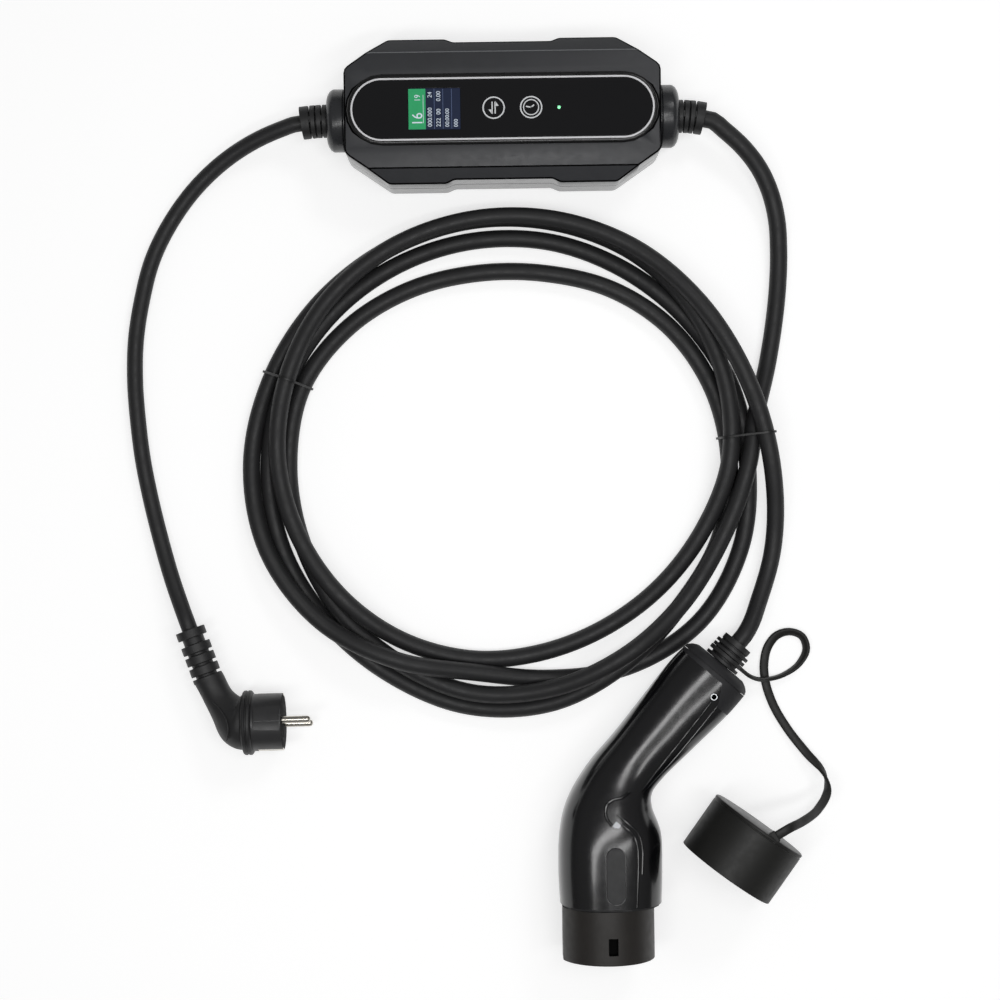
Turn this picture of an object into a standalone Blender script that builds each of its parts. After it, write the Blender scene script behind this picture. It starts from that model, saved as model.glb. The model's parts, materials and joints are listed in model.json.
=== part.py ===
"""Portable charging cable for an electric car.

A control box stands between a mains lead with a right-angle plug and a coiled
charging lead with a pistol-grip connector, whose dust cap hangs on a strap.
Metres, +Z up. The origin is the centre of the box's underside, +X runs along
the box towards the charging lead, and everything lies on z = 0.
"""
from math import cos, degrees, pi, radians, sin, tan

import bmesh
import bpy
from mathutils import Matrix, Vector

# Fits
CLEARANCE = 0.0003
WELD = 0.00001
BORE_PHASE = 7.0
EDGE_ROUND = 0.0008

# Control box, outside
BOX_LENGTH = 0.2130
BOX_WIDTH = 0.0976
BOX_TOP = 0.0485
BOX_SEAM_HEIGHT = 0.0220
BOX_WALL = 0.0025
SHOULDER_WIDTH = 0.0105
SHOULDER_DROP = 0.0065
SHOULDER_STEP = 0.0009
CORNER_CUT_LENGTH = 0.0295
CORNER_CUT_WIDTH = 0.0203
WAIST_LENGTH = 0.0660
WAIST_RAMP = 0.0055
WAIST_DEPTH = 0.0024
CORNER_ROUND = 0.0060
GASKET_THICKNESS = 0.0006
GASKET_INSET = 0.0008

# Display panel and what shows in it
PANEL_END_MARGIN = 0.0061
PANEL_WIDTH = 0.0390
PANEL_THICKNESS = 0.0022
TRIM_WIDTH = 0.0012
RIM_WIDTH = 0.0026
RIM_HEIGHT = 0.0025
SCREEN_LENGTH = 0.0347
SCREEN_WIDTH = 0.0275
SCREEN_PLACE = -0.0457
SCREEN_SINK = 0.0003
LED_DIAMETER = 0.0030
LED_PLACE = 0.0378

# Screws
SCREW_DIAMETER = 0.0030
SCREW_HEAD_DIAMETER = 0.0056
SCREW_HEAD_HEIGHT = 0.0024
SCREW_BOSS_WALL = 0.0022
SCREW_BITE = 0.0110
SCREW_END_INSET = 0.0255
SCREW_SIDE_INSET = 0.0158
WAIST_SCREW_INSET = 0.0108
SHELL_SCREW_SEAT = 0.0090

# Boards and what stands on them
BOARD_THICKNESS = 0.0016
BOARD_END_MARGIN = 0.0365
BOARD_SIDE_MARGIN = 0.0188
BOARD_HEIGHT = 0.0110
BOARD_POST_DIAMETER = 0.0070
BOARD_POST_INSET = 0.0050
DISPLAY_BOARD_START = -0.0680
DISPLAY_BOARD_END = 0.0440
DISPLAY_BOARD_WIDTH = 0.0330
RELAY_SIZE = (0.0280, 0.0220, 0.0190)
RELAY_ROW = 0.0150
TRANSFORMER_SIZE = (0.0230, 0.0210, 0.0170)
CAPACITOR_DIAMETER = 0.0120
CAPACITOR_HEIGHT = 0.0220
SENSOR_DIAMETER = 0.0260
SENSOR_BORE = 0.0130
SENSOR_HEIGHT = 0.0110
SENSOR_ROW = 0.0140
TERMINAL_SIZE = (0.0160, 0.0280, 0.0150)
TERMINAL_INSET = 0.0465
PART_GAP = 0.0010

# Glands and strain reliefs of the box
GLAND_Y = -0.0020
GLAND_HEIGHT = 0.0225
GLAND_DIAMETER = 0.0425
GLAND_LENGTH = 0.0126
GLAND_RING_LENGTH = 0.0042
GLAND_RING_STEP = 0.0012
GLAND_ROUND = 0.0028
GLAND_SPIGOT_DIAMETER = 0.0190
GLAND_LIP_DIAMETER = 0.0240
GLAND_LIP_LENGTH = 0.0020
RELIEF_DIAMETER = 0.0224
RELIEF_CORE_DIAMETER = 0.0176
RELIEF_LENGTH = 0.0186
RELIEF_RIBS = 4
RELIEF_RIB_SHARE = 0.62
RELIEF_STUB_REACH = 0.0060
INPUT_RELIEF_BEND = 8.0
OUTPUT_RELIEF_BEND = 12.0
WIRING_DIAMETER = 0.0070

# Cables and strap
INPUT_CABLE_DIAMETER = 0.0110
OUTPUT_CABLE_DIAMETER = 0.0120
STRAP_DIAMETER = 0.0046
TIE_WIDTH = 0.0026
TIE_THICKNESS = 0.0009
TIE_SIDES = 16

# Mains plug: place of its axis, and sizes along it
PLUG_AXIS_HEIGHT = 0.0221
PLUG_COLLAR_PLACE = (-0.1828, -0.4122)
PLUG_TURN = 0.8
PLUG_ROLL = -14.0
PLUG_COLLAR_DIAMETER = 0.0440
PLUG_COLLAR_LENGTH = 0.0069
PLUG_COLLAR_ROUND = 0.0014
PLUG_FACE_DIAMETER = 0.0390
PLUG_FACE_LENGTH = 0.0203
PLUG_TENON_DIAMETER = 0.0300
PLUG_TENON_LENGTH = 0.0050
GUIDE_WIDTH = 0.0200
GUIDE_DEPTH = 0.0015
GUIDE_LENGTH = 0.0176
PIN_DIAMETER = 0.0048
PIN_LENGTH = 0.0190
PIN_ROOT = 0.0120
PIN_SPACING = 0.0190
EARTH_STRIP_WIDTH = 0.0080
EARTH_STRIP_THICKNESS = 0.0012
EARTH_STRIP_LENGTH = 0.0170
EARTH_HOLE_DIAMETER = 0.0054
EARTH_HOLE_DEPTH = 0.0150
EARTH_HOLE_PLACE = 0.0085
PLUG_RELIEF_DIAMETER = 0.0204
PLUG_RELIEF_CORE_DIAMETER = 0.0160
PLUG_RELIEF_HEADING = -70.3
PLUG_RELIEF_END = (-0.2192, -0.3482, 0.0180)
PLUG_RELIEF_FIRST_RIB = 0.0082
PLUG_RELIEF_RIB = 0.0054
PLUG_RELIEF_GROOVE = 0.0024
PLUG_RELIEF_GROOVES = 4
PLUG_GRIP_DIAMETER = 0.0370
PLUG_SIDES = 16

# Connector: place of the head's front face, and sizes along the nose
HEAD_PLACE = (0.0658, -0.5350, 0.0330)
HEAD_HEADING = -90.0
GRIP_WALL = 0.0026
GRIP_SEAM = 0.0003
GRIP_POWER = 2.4
GRIP_SIDES = 20
NOSE_OFFSET = -0.0024
NOSE_DIAMETER = 0.0636
NOSE_LENGTH = 0.0375
NOSE_FLAT_CUT = 0.0014
NOSE_STEP = 0.0018
NOSE_SPIGOT_LENGTH = 0.0120
POWER_SLEEVE_DIAMETER = 0.0090
POWER_PIN_BORE = 0.0062
PILOT_SLEEVE_DIAMETER = 0.0052
PILOT_PIN_BORE = 0.0032
SLEEVE_SINK = 0.0095
SLEEVE_TAIL = 0.0080
SLEEVE_BORE_DEPTH = 0.0200
HOLE_MARGIN = 0.0016
PILOT_ROW = -0.0145
PILOT_SPACING = 0.0190
POWER_SPACING = 0.0170
SPARE_ROW = 0.0150
LOCK_SLOT_LENGTH = 0.0114
LOCK_SLOT_WIDTH = 0.0064
LOCK_SLOT_DEPTH = 0.0052
LOCK_SLOT_PLACE = 0.0250
SIDE_SLOT_PLACE = 0.0210
BADGE_LENGTH = 0.0374
BADGE_WIDTH = 0.0124
BADGE_THICKNESS = 0.0010
BADGE_PLACE = (0.0680, -0.5128)
REAR_CAP_LENGTH = 0.0070
REAR_CAP_TAPER = 0.0070
CONNECTOR_RELIEF_DIAMETER = 0.0260
CONNECTOR_RELIEF_CORE = 0.0204
CONNECTOR_FIRST_RIB = 0.0036
CONNECTOR_RIB = 0.0023
CONNECTOR_GROOVE = 0.0012
CONNECTOR_TAIL_DIAMETER = 0.0216
CONNECTOR_TAIL_CORE = 0.0198
CONNECTOR_TAIL_LENGTH = 0.0040
CONNECTOR_STUB_REACH = 0.0120
STRAP_RING_WIDTH = 0.0030
STRAP_RING_WALL = 0.0028
CLAMP_LENGTH = 0.0085
CLAMP_WIDTH = 0.0240
GRIP_SCREW_LATERAL = 0.0100
REAR_SCREW_INDEX = 2
HEAD_SCREW_INDEX = 13
HEAD_SCREW_LATERAL = 0.0230
GRIP_SCREW_SEAT = 0.0060
GRIP_SCREW_BITE = 0.0090
GRIP_WIRING_STRAIGHT = 0.0080

# Dust cap: a cup that lies on its side
CAP_DIAMETER = 0.0700
CAP_LENGTH = 0.0402
CAP_WALL = 0.0030
CAP_BASE = 0.0030
CAP_ROUND = 0.0016
CAP_PLACE = (0.1673, -0.4843)
CAP_HEADING = -125.9
LUG_LENGTH = 0.0050
LUG_WIDTH = 0.0080
LUG_THICKNESS = 0.0040
LUG_REACH = 0.0025
LUG_SINK = 0.0024
LUG_SIDE = 0.0076
LUG_TURN = -24.0

# Grip of the connector from its rear end to the head's front face:
# x, y, z, heading, half width, half height
GRIP_ROWS = [
    (0.1390, -0.3810, 0.0250, -131.0, 0.0262, 0.0206),
    (0.1264, -0.3943, 0.0255, -133.0, 0.0265, 0.0220),
    (0.1050, -0.4170, 0.0272, -133.0, 0.0243, 0.0224),
    (0.0847, -0.4387, 0.0292, -130.0, 0.0224, 0.0234),
    (0.0724, -0.4535, 0.0308, -111.0, 0.0242, 0.0256),
    (0.0655, -0.4700, 0.0322, -93.0, 0.0293, 0.0290),
    (0.0660, -0.4886, 0.0330, -90.0, 0.0344, 0.0320),
    (0.0658, -0.5120, 0.0330, -90.0, 0.0352, 0.0328),
    (HEAD_PLACE[0], HEAD_PLACE[1], HEAD_PLACE[2], HEAD_HEADING, 0.0344, 0.0328),
]

# Elbow of the plug between its ribbed relief and its collar:
# x, y, z, heading, half width, half height
ELBOW_ROWS = [
    (-0.2006, -0.3933, 0.0198, -68.0, 0.0102, 0.0106),
    (-0.1946, -0.4020, 0.0212, -50.0, 0.0120, 0.0130),
    (-0.1906, -0.4088, 0.0219, -27.0, 0.0156, 0.0162),
    (-0.1868, -0.4114, 0.0221, -8.0, 0.0180, 0.0182),
]

# Route of the mains lead from the box to the plug
INPUT_ROUTE = [
    (-0.1500, -0.0062, 0.0213), (-0.1663, -0.0122, 0.0180), (-0.1878, -0.0236, 0.0126),
    (-0.2094, -0.0410, 0.0080), (-0.2292, -0.0656, 0.0057), (-0.2434, -0.0931, 0.0056),
    (-0.2510, -0.1207, 0.0056), (-0.2556, -0.1483, 0.0056), (-0.2566, -0.1759, 0.0056),
    (-0.2550, -0.2036, 0.0056), (-0.2519, -0.2313, 0.0056), (-0.2467, -0.2591, 0.0056),
    (-0.2400, -0.2868, 0.0070), (-0.2318, -0.3144, 0.0110), (-0.2256, -0.3315, 0.0148),
]

# Route of the charging lead: down from the box, round the coil, up to the grip
OUTPUT_LEAD_IN = [
    (0.1510, -0.0112, 0.0214), (0.1653, -0.0239, 0.0184), (0.1757, -0.0370, 0.0152),
    (0.1833, -0.0524, 0.0118), (0.1881, -0.0710, 0.0088), (0.1895, -0.0934, 0.0068),
    (0.1886, -0.1165, 0.0062), (0.1854, -0.1441, 0.0062), (0.1809, -0.1697, 0.0065),
    (0.1706, -0.2093, 0.0156),
]
OUTPUT_LEAD_OUT = [(0.1705, -0.3363, 0.0160), (0.1650, -0.3487, 0.0225)]
COIL_CENTRE = (0.0033, -0.2362)
COIL_TILT = -0.8
COIL_STEP = 20
COIL_REST = 0.0061
COIL_LAYER = 0.0122
COIL_REACH = 0.2000
# Each turn runs clockwise from the +X side: radius, then layers above the floor
COIL_TURNS = [
    [(0.1624, 1.05), (0.1531, 1.00), (0.1518, 1.00), (0.1528, 2.00), (0.1576, 1.25), (0.1611, 0.70),
     (0.1585, 0.60), (0.1572, 0.30), (0.1553, 0.00), (0.1543, 0.00), (0.1535, 0.13), (0.1462, 0.00),
     (0.1381, 0.00), (0.1325, 0.00), (0.1323, 0.00), (0.1377, 0.00), (0.1434, 0.00), (0.1473, 0.13)],
    [(0.1500, 0.13), (0.1528, 0.00), (0.1528, 0.00), (0.1583, 1.00), (0.1680, 0.50), (0.1715, 0.00),
     (0.1693, 0.00), (0.1689, 0.00), (0.1697, 0.00), (0.1680, 0.00), (0.1645, 0.50), (0.1607, 0.25),
     (0.1573, 0.00), (0.1550, 0.00), (0.1542, 0.00), (0.1538, 0.00), (0.1559, 0.00), (0.1599, 0.13)],
    [(0.1625, 0.13), (0.1687, 0.00), (0.1703, 0.00), (0.1628, 0.00), (0.1518, 0.00), (0.1469, 0.75),
     (0.1567, 1.70), (0.1707, 1.10), (0.1791, 0.65), (0.1797, 0.25), (0.1758, 0.13), (0.1725, 0.00),
     (0.1701, 0.00), (0.1691, 0.00), (0.1678, 0.15), (0.1671, 0.10), (0.1622, 0.90), (0.1558, 1.10)],
    [(0.1488, 1.12), (0.1395, 0.45), (0.1337, 0.00), (0.1312, 0.00), (0.1330, 0.00), (0.1384, 0.00),
     (0.1439, 0.40), (0.1489, 1.20), (0.1548, 1.05), (0.1606, 1.00), (0.1637, 1.55), (0.1676, 1.20),
     (0.1686, 1.00), (0.1684, 1.00), (0.1686, 1.00), (0.1686, 1.25), (0.1674, 1.80), (0.1692, 1.95)],
    [(0.1772, 1.40), (0.1902, 0.40)],
]
LEFT_TIE_ANGLE = 159.2
RIGHT_TIE_ANGLE = 5.7

# Route of the cap's strap from the ring on the relief to the cap's closed end
STRAP_ROUTE = [
    (0.1670, -0.3868, 0.0190), (0.1744, -0.3885, 0.0110), (0.1883, -0.3864, 0.0040),
    (0.2003, -0.3783, 0.0026), (0.2053, -0.3680, 0.0026), (0.2023, -0.3596, 0.0026),
    (0.1937, -0.3564, 0.0026), (0.1853, -0.3587, 0.0026), (0.1790, -0.3662, 0.0026),
    (0.1760, -0.3780, 0.0026), (0.1766, -0.3898, 0.0026), (0.1812, -0.4051, 0.0026),
    (0.1913, -0.4233, 0.0030), (0.2041, -0.4402, 0.0050), (0.2147, -0.4531, 0.0110),
    (0.2157, -0.4634, 0.0210), (0.2072, -0.4738, 0.0370), (0.1931, -0.4797, 0.0560),
]

for old in list(bpy.data.objects):
    bpy.data.objects.remove(old)

PART = bpy.data.collections.new("ev_charging_cable")
CUTTERS = bpy.data.collections.new("cutters")
bpy.context.scene.collection.children.link(PART)
bpy.context.scene.collection.children.link(CUTTERS)


def surface(name, colour, roughness, metallic=0.0):
    """A plain Principled material."""
    made = bpy.data.materials.new(name)
    made.use_nodes = True
    shader = made.node_tree.nodes["Principled BSDF"]
    shader.inputs["Base Color"].default_value = (*colour, 1.0)
    shader.inputs["Roughness"].default_value = roughness
    shader.inputs["Metallic"].default_value = metallic
    return made


SHELL_BLACK = surface("shell_black", (0.020, 0.021, 0.023), 0.45)
GLOSS_BLACK = surface("gloss_black", (0.008, 0.008, 0.010), 0.12)
RUBBER_BLACK = surface("rubber_black", (0.022, 0.022, 0.023), 0.60)
NOSE_BLACK = surface("nose_black", (0.030, 0.027, 0.026), 0.55)
JACKET_BLACK = surface("jacket_black", (0.024, 0.024, 0.026), 0.50)
TRIM_WHITE = surface("trim_white", (0.80, 0.80, 0.80), 0.30)
SCREEN_GREEN = surface("screen_green", (0.020, 0.300, 0.160), 0.20)
LED_GREEN = surface("led_green", (0.050, 0.800, 0.300), 0.20)
BOARD_GREEN = surface("board_green", (0.010, 0.140, 0.060), 0.50)
PART_BLUE = surface("part_blue", (0.030, 0.080, 0.250), 0.40)
PART_GREY = surface("part_grey", (0.250, 0.250, 0.260), 0.50)
COPPER = surface("copper", (0.600, 0.250, 0.120), 0.35, 1.0)
STEEL = surface("steel", (0.550, 0.550, 0.560), 0.35, 1.0)
NICKEL = surface("nickel", (0.620, 0.600, 0.560), 0.25, 1.0)


def add_object(name, data, skin, frame=Matrix.Identity(4)):
    """Puts a mesh or a curve in the part's collection with its own material."""
    made = bpy.data.objects.new(name, data)
    made.matrix_world = frame
    data.materials.append(skin)
    PART.objects.link(made)
    return made


def mesh_from(name, work, smooth=30.0):
    """A mesh from a bmesh, its faces pointing out, smooth except at its edges."""
    bmesh.ops.recalc_face_normals(work, faces=work.faces)
    mesh = bpy.data.meshes.new(name)
    work.to_mesh(mesh)
    work.free()
    mesh.shade_smooth()
    mesh.set_sharp_from_angle(angle=radians(smooth))
    return mesh


def block(name, low, high, skin, frame=Matrix.Identity(4)):
    """A box between two corners."""
    size = Vector(high) - Vector(low)
    middle = (Vector(high) + Vector(low)) / 2
    work = bmesh.new()
    bmesh.ops.create_cube(work, size=1.0)
    bmesh.ops.scale(work, vec=size, verts=work.verts)
    bmesh.ops.translate(work, vec=middle, verts=work.verts)
    return add_object(name, mesh_from(name, work), skin, frame)


def turned(name, profile, skin, frame, steps=32):
    """A shape turned about the frame's +X: (place, radius) from its far end to its near end."""
    mesh = bpy.data.meshes.new(name)
    spots = [(radius, 0.0, place) for place, radius in profile]
    runs = [(i, i + 1) for i in range(len(spots) - 1) if spots[i][0] > 0.0 or spots[i + 1][0] > 0.0]
    mesh.from_pydata(spots, runs, [])
    made = add_object(name, mesh, skin, frame @ Matrix.Rotation(pi / 2, 4, "Y"))
    screw = made.modifiers.new("turn", "SCREW")
    screw.axis = "Z"
    screw.steps = steps
    screw.render_steps = steps
    screw.use_merge_vertices = True
    screw.merge_threshold = WELD
    screw.use_smooth_shade = False
    return made


def rod(name, near, far, radius, skin, frame, steps=32):
    """A plain round rod along the frame's +X."""
    return turned(name, [(far, 0.0), (far, radius), (near, radius), (near, 0.0)], skin, frame, steps)


def bore(name, profile, frame, steps=12):
    """A turned cutter, its sides set off so that none lines up with the piece it cuts."""
    return turned(name, profile, SHELL_BLACK, frame @ Matrix.Rotation(radians(BORE_PHASE), 4, "X"), steps)


def round_hole(name, near, far, radius, frame, steps=12):
    """A plain round cutter along the frame's +X."""
    return bore(name, [(far, 0.0), (far, radius), (near, radius), (near, 0.0)], frame, steps)


def prism(name, outlines, low, high, skin, frame=Matrix.Identity(4)):
    """A flat outline, with a hole for each further one, drawn up from low to high."""
    curve = bpy.data.curves.new(name, "CURVE")
    curve.dimensions = "2D"
    curve.fill_mode = "BOTH"
    curve.extrude = (high - low) / 2
    for outline in outlines:
        spline = curve.splines.new("POLY")
        spline.points.add(len(outline) - 1)
        spline.use_cyclic_u = True
        for spot, (x, y) in zip(spline.points, outline):
            spot.co = (x, y, 0.0, 1.0)
    lifted = frame @ Matrix.Translation((0.0, 0.0, (low + high) / 2))
    drawn = bpy.data.objects.new(name, curve)
    drawn.matrix_world = lifted
    PART.objects.link(drawn)
    bpy.context.view_layer.update()
    evaluated = drawn.evaluated_get(bpy.context.evaluated_depsgraph_get())
    mesh = bpy.data.meshes.new_from_object(evaluated)
    work = bmesh.new()
    work.from_mesh(mesh)
    bmesh.ops.remove_doubles(work, verts=work.verts, dist=WELD)
    bpy.data.objects.remove(drawn)
    bpy.data.curves.remove(curve)
    bpy.data.meshes.remove(mesh)
    return add_object(name, mesh_from(name, work), skin, lifted)


def tube(name, points, diameter, skin, sides=2):
    """A round tube through points, with flat ends."""
    curve = bpy.data.curves.new(name, "CURVE")
    curve.dimensions = "3D"
    curve.bevel_depth = diameter / 2
    curve.bevel_resolution = sides
    curve.use_fill_caps = True
    spline = curve.splines.new("POLY")
    spline.points.add(len(points) - 1)
    for spot, place in zip(spline.points, points):
        spot.co = (*place, 1.0)
    return add_object(name, curve, skin)


def loft(name, rings, skin):
    """A closed skin over rings of points that match one to one."""
    work = bmesh.new()
    rows = [[work.verts.new(place) for place in ring] for ring in rings]
    count = len(rings[0])
    for near, far in zip(rows, rows[1:]):
        for i in range(count):
            j = (i + 1) % count
            work.faces.new((near[i], near[j], far[j], far[i]))
    work.faces.new(list(reversed(rows[0])))
    work.faces.new(rows[-1])
    return add_object(name, mesh_from(name, work), skin)


def shape_with(target, tool, operation):
    """Cuts a piece with a tool, or joins the tool to it."""
    PART.objects.unlink(tool)
    CUTTERS.objects.link(tool)
    tool.hide_render = True
    tool.display_type = "WIRE"
    change = target.modifiers.new(tool.name, "BOOLEAN")
    change.operation = operation
    change.object = tool


def cut(target, tool):
    """Takes the tool's shape out of the target."""
    shape_with(target, tool, "DIFFERENCE")


def join(target, tool):
    """Makes the tool's shape part of the target."""
    shape_with(target, tool, "UNION")


def mirrored_outline(quarter):
    """A closed outline from its quarter between the +X and +Y axes."""
    half = quarter + [(-x, y) for x, y in reversed(quarter)]
    return half + [(-x, -y) for x, y in half]


def inset_outline(outline, inset):
    """Draws every side of a counterclockwise outline in by the same amount."""
    drawn = []
    for i, (x, y) in enumerate(outline):
        before = Vector((x, y)) - Vector(outline[i - 1])
        after = Vector(outline[(i + 1) % len(outline)]) - Vector((x, y))
        first = Vector((-before.y, before.x)).normalized()
        second = Vector((-after.y, after.x)).normalized()
        place = Vector((x, y)) + (first + second) * (inset / (1.0 + first.dot(second)))
        drawn.append(tuple(place))
    return drawn


def rounded(outline, radius, steps=2):
    """Rounds the corners of an outline with arcs."""
    drawn = []
    for i, spot in enumerate(outline):
        corner = Vector(spot)
        back = Vector(outline[i - 1]) - corner
        ahead = Vector(outline[(i + 1) % len(outline)]) - corner
        half = back.angle(ahead) / 2
        reach = min(radius / tan(half), 0.45 * back.length, 0.45 * ahead.length)
        start = corner + back.normalized() * reach
        end = corner + ahead.normalized() * reach
        for step in range(steps + 1):
            t = step / steps
            drawn.append(tuple((1 - t) ** 2 * start + 2 * t * (1 - t) * corner + t * t * end))
    return drawn


def pill(length, width, steps=10):
    """A stadium outline with its ends on the X axis."""
    reach = (length - width) / 2
    ends = [(1, -pi / 2), (-1, pi / 2)]
    return [(side * reach + width / 2 * cos(start + pi * i / steps),
             width / 2 * sin(start + pi * i / steps))
            for side, start in ends for i in range(steps + 1)]


def rectangle(length, width, x=0.0, y=0.0):
    """A rectangle about a point."""
    return [(x + a * length / 2, y + b * width / 2) for a, b in ((1, -1), (1, 1), (-1, 1), (-1, -1))]


def oval(half_width, half_height, power=2.0, count=24, start=0.0, end=360.0):
    """Points on a superellipse, all round or between two angles."""
    whole = end - start >= 360.0
    spots = []
    for i in range(count if whole else count + 1):
        angle = radians(start + (end - start) * i / count)
        c, s = cos(angle), sin(angle)
        spots.append((half_width * abs(c) ** (2 / power) * (1 if c >= 0 else -1),
                      half_height * abs(s) ** (2 / power) * (1 if s >= 0 else -1)))
    return spots


def oval_height(half_width, half_height, across, power=GRIP_POWER):
    """Half height of a superellipse at a distance from its middle."""
    return half_height * (1.0 - min(across / half_width, 1.0) ** power) ** (1 / power)


def upright(place, heading, spots):
    """Stands flat (across, up) points at a place, facing along a heading."""
    side = Vector((-sin(radians(heading)), cos(radians(heading)), 0.0))
    return [Vector(place) + side * a + Vector((0.0, 0.0, b)) for a, b in spots]


def facing(place, heading, roll=0.0):
    """A frame at a place whose +X runs along a heading on the floor."""
    turn = Matrix.Rotation(radians(heading), 4, "Z") @ Matrix.Rotation(radians(roll), 4, "X")
    return Matrix.Translation(place) @ turn


def smooth_rows(rows, steps):
    """Rows of numbers with smooth rows added between them."""
    drawn = []
    for i in range(len(rows) - 1):
        a, b, c, d = rows[max(i - 1, 0)], rows[i], rows[i + 1], rows[min(i + 2, len(rows) - 1)]
        for step in range(steps):
            t = step / steps
            drawn.append(tuple(
                0.5 * (2 * q + (r - p) * t + (2 * p - 5 * q + 4 * r - s) * t * t
                       + (3 * q - p - 3 * r + s) * t ** 3)
                for p, q, r, s in zip(a, b, c, d)))
    drawn.append(tuple(rows[-1]))
    return drawn


def screw(name, head, tip, frame, skin=STEEL):
    """A pan-head screw along the frame's +X, its head's underside at `head`."""
    top = head - SCREW_HEAD_HEIGHT
    return turned(name, [(tip, 0.0), (tip, SCREW_DIAMETER / 2), (head, SCREW_DIAMETER / 2),
                         (head, SCREW_HEAD_DIAMETER / 2), (top, SCREW_HEAD_DIAMETER / 2),
                         (top, 0.0)], skin, frame, 8)


# Outline of the box, and the heights of its pieces
HALF_LENGTH = BOX_LENGTH / 2
HALF_WIDTH = BOX_WIDTH / 2
OUTLINE = mirrored_outline([
    (HALF_LENGTH, HALF_WIDTH - CORNER_CUT_WIDTH), (HALF_LENGTH - CORNER_CUT_LENGTH, HALF_WIDTH),
    (WAIST_LENGTH / 2 + WAIST_RAMP, HALF_WIDTH), (WAIST_LENGTH / 2, HALF_WIDTH - WAIST_DEPTH)])
LOWER_TOP = BOX_SEAM_HEIGHT
UPPER_BASE = LOWER_TOP + GASKET_THICKNESS + 2 * CLEARANCE
RIM_TOP = BOX_TOP + RIM_HEIGHT
PANEL_TOP = RIM_TOP - CLEARANCE
PANEL_BASE = PANEL_TOP - PANEL_THICKNESS
POCKET_FLOOR = PANEL_BASE - CLEARANCE
CEILING = min(POCKET_FLOOR, BOX_TOP) - BOX_WALL
PANEL_LENGTH = BOX_LENGTH - 2 * PANEL_END_MARGIN
SCREW_SPOTS = [(a * (HALF_LENGTH - SCREW_END_INSET), b * (HALF_WIDTH - SCREW_SIDE_INSET))
               for a in (-1, 1) for b in (-1, 1)]
SCREW_SPOTS += [(0.0, WAIST_SCREW_INSET - HALF_WIDTH), (0.0, HALF_WIDTH - WAIST_SCREW_INSET)]
SCREW_HOLE = SCREW_DIAMETER / 2 + CLEARANCE
HEAD_HOLE = SCREW_HEAD_DIAMETER / 2 + CLEARANCE
BOSS_RADIUS = HEAD_HOLE + SCREW_BOSS_WALL
BOARD_LENGTH = BOX_LENGTH - 2 * BOARD_END_MARGIN
BOARD_WIDTH = BOX_WIDTH - 2 * BOARD_SIDE_MARGIN
TERMINAL_PLACE = HALF_LENGTH - TERMINAL_INSET
PARTS_END = TERMINAL_PLACE - TERMINAL_SIZE[0] / 2 - PART_GAP
CAPACITOR_PLACE = PARTS_END - CAPACITOR_DIAMETER / 2
TRANSFORMER_PLACE = CAPACITOR_PLACE - CAPACITOR_DIAMETER / 2 - PART_GAP - TRANSFORMER_SIZE[0] / 2
SENSOR_PLACE = PARTS_END - SENSOR_DIAMETER / 2
RELAY_PLACE = RELAY_SIZE[0] / 2 - PARTS_END
UP = Matrix.Rotation(-pi / 2, 4, "Y")


def standing(x, y, z=0.0):
    """A frame at a spot whose +X points straight up."""
    return Matrix.Translation((x, y, z)) @ UP


def roof(drop, reach):
    """Cross-section of the space under the box's top: flat, a small step, then sloping shoulders."""
    flat = HALF_WIDTH - SHOULDER_WIDTH
    slope = SHOULDER_DROP / SHOULDER_WIDTH
    low = BOX_TOP - SHOULDER_STEP - slope * (reach - flat) - drop
    ridge = [(flat, BOX_TOP - drop), (flat + SHOULDER_STEP / 2, BOX_TOP - SHOULDER_STEP - drop)]
    side = [(reach, -BOX_TOP), (reach, low)] + list(reversed(ridge))
    return side + [(-y, z) for y, z in reversed(side)]


def lower_shell():
    """The tray: floor, walls, screw columns, board posts and half of each gland hole."""
    shell = prism("lower_shell", [rounded(OUTLINE, CORNER_ROUND)], 0.0, LOWER_TOP, SHELL_BLACK)
    hollow = rounded(inset_outline(OUTLINE, BOX_WALL), CORNER_ROUND - BOX_WALL / 2)
    cut(shell, prism("tray_hollow", [hollow], BOX_WALL, LOWER_TOP + BOX_WALL, SHELL_BLACK))
    for i, (x, y) in enumerate(SCREW_SPOTS):
        join(shell, rod(f"tray_column_{i}", BOX_WALL / 2, LOWER_TOP, BOSS_RADIUS, SHELL_BLACK,
                        standing(x, y), 10))
    for i, (x, y) in enumerate(board_post_spots()):
        join(shell, rod(f"board_post_{i}", BOX_WALL / 2, BOARD_HEIGHT - CLEARANCE,
                        BOARD_POST_DIAMETER / 2, SHELL_BLACK, standing(x, y), 8))
    for i, (x, y) in enumerate(SCREW_SPOTS):
        cut(shell, bore(f"tray_screw_hole_{i}", [
            (LOWER_TOP + BOX_WALL, 0.0), (LOWER_TOP + BOX_WALL, SCREW_HOLE),
            (SHELL_SCREW_SEAT, SCREW_HOLE), (SHELL_SCREW_SEAT, HEAD_HOLE),
            (-BOX_WALL, HEAD_HOLE), (-BOX_WALL, 0.0)], standing(x, y)))
    for side in (-1, 1):
        cut(shell, gland_hole(f"tray_gland_hole_{side + 1}", side))
    return shell


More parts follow.
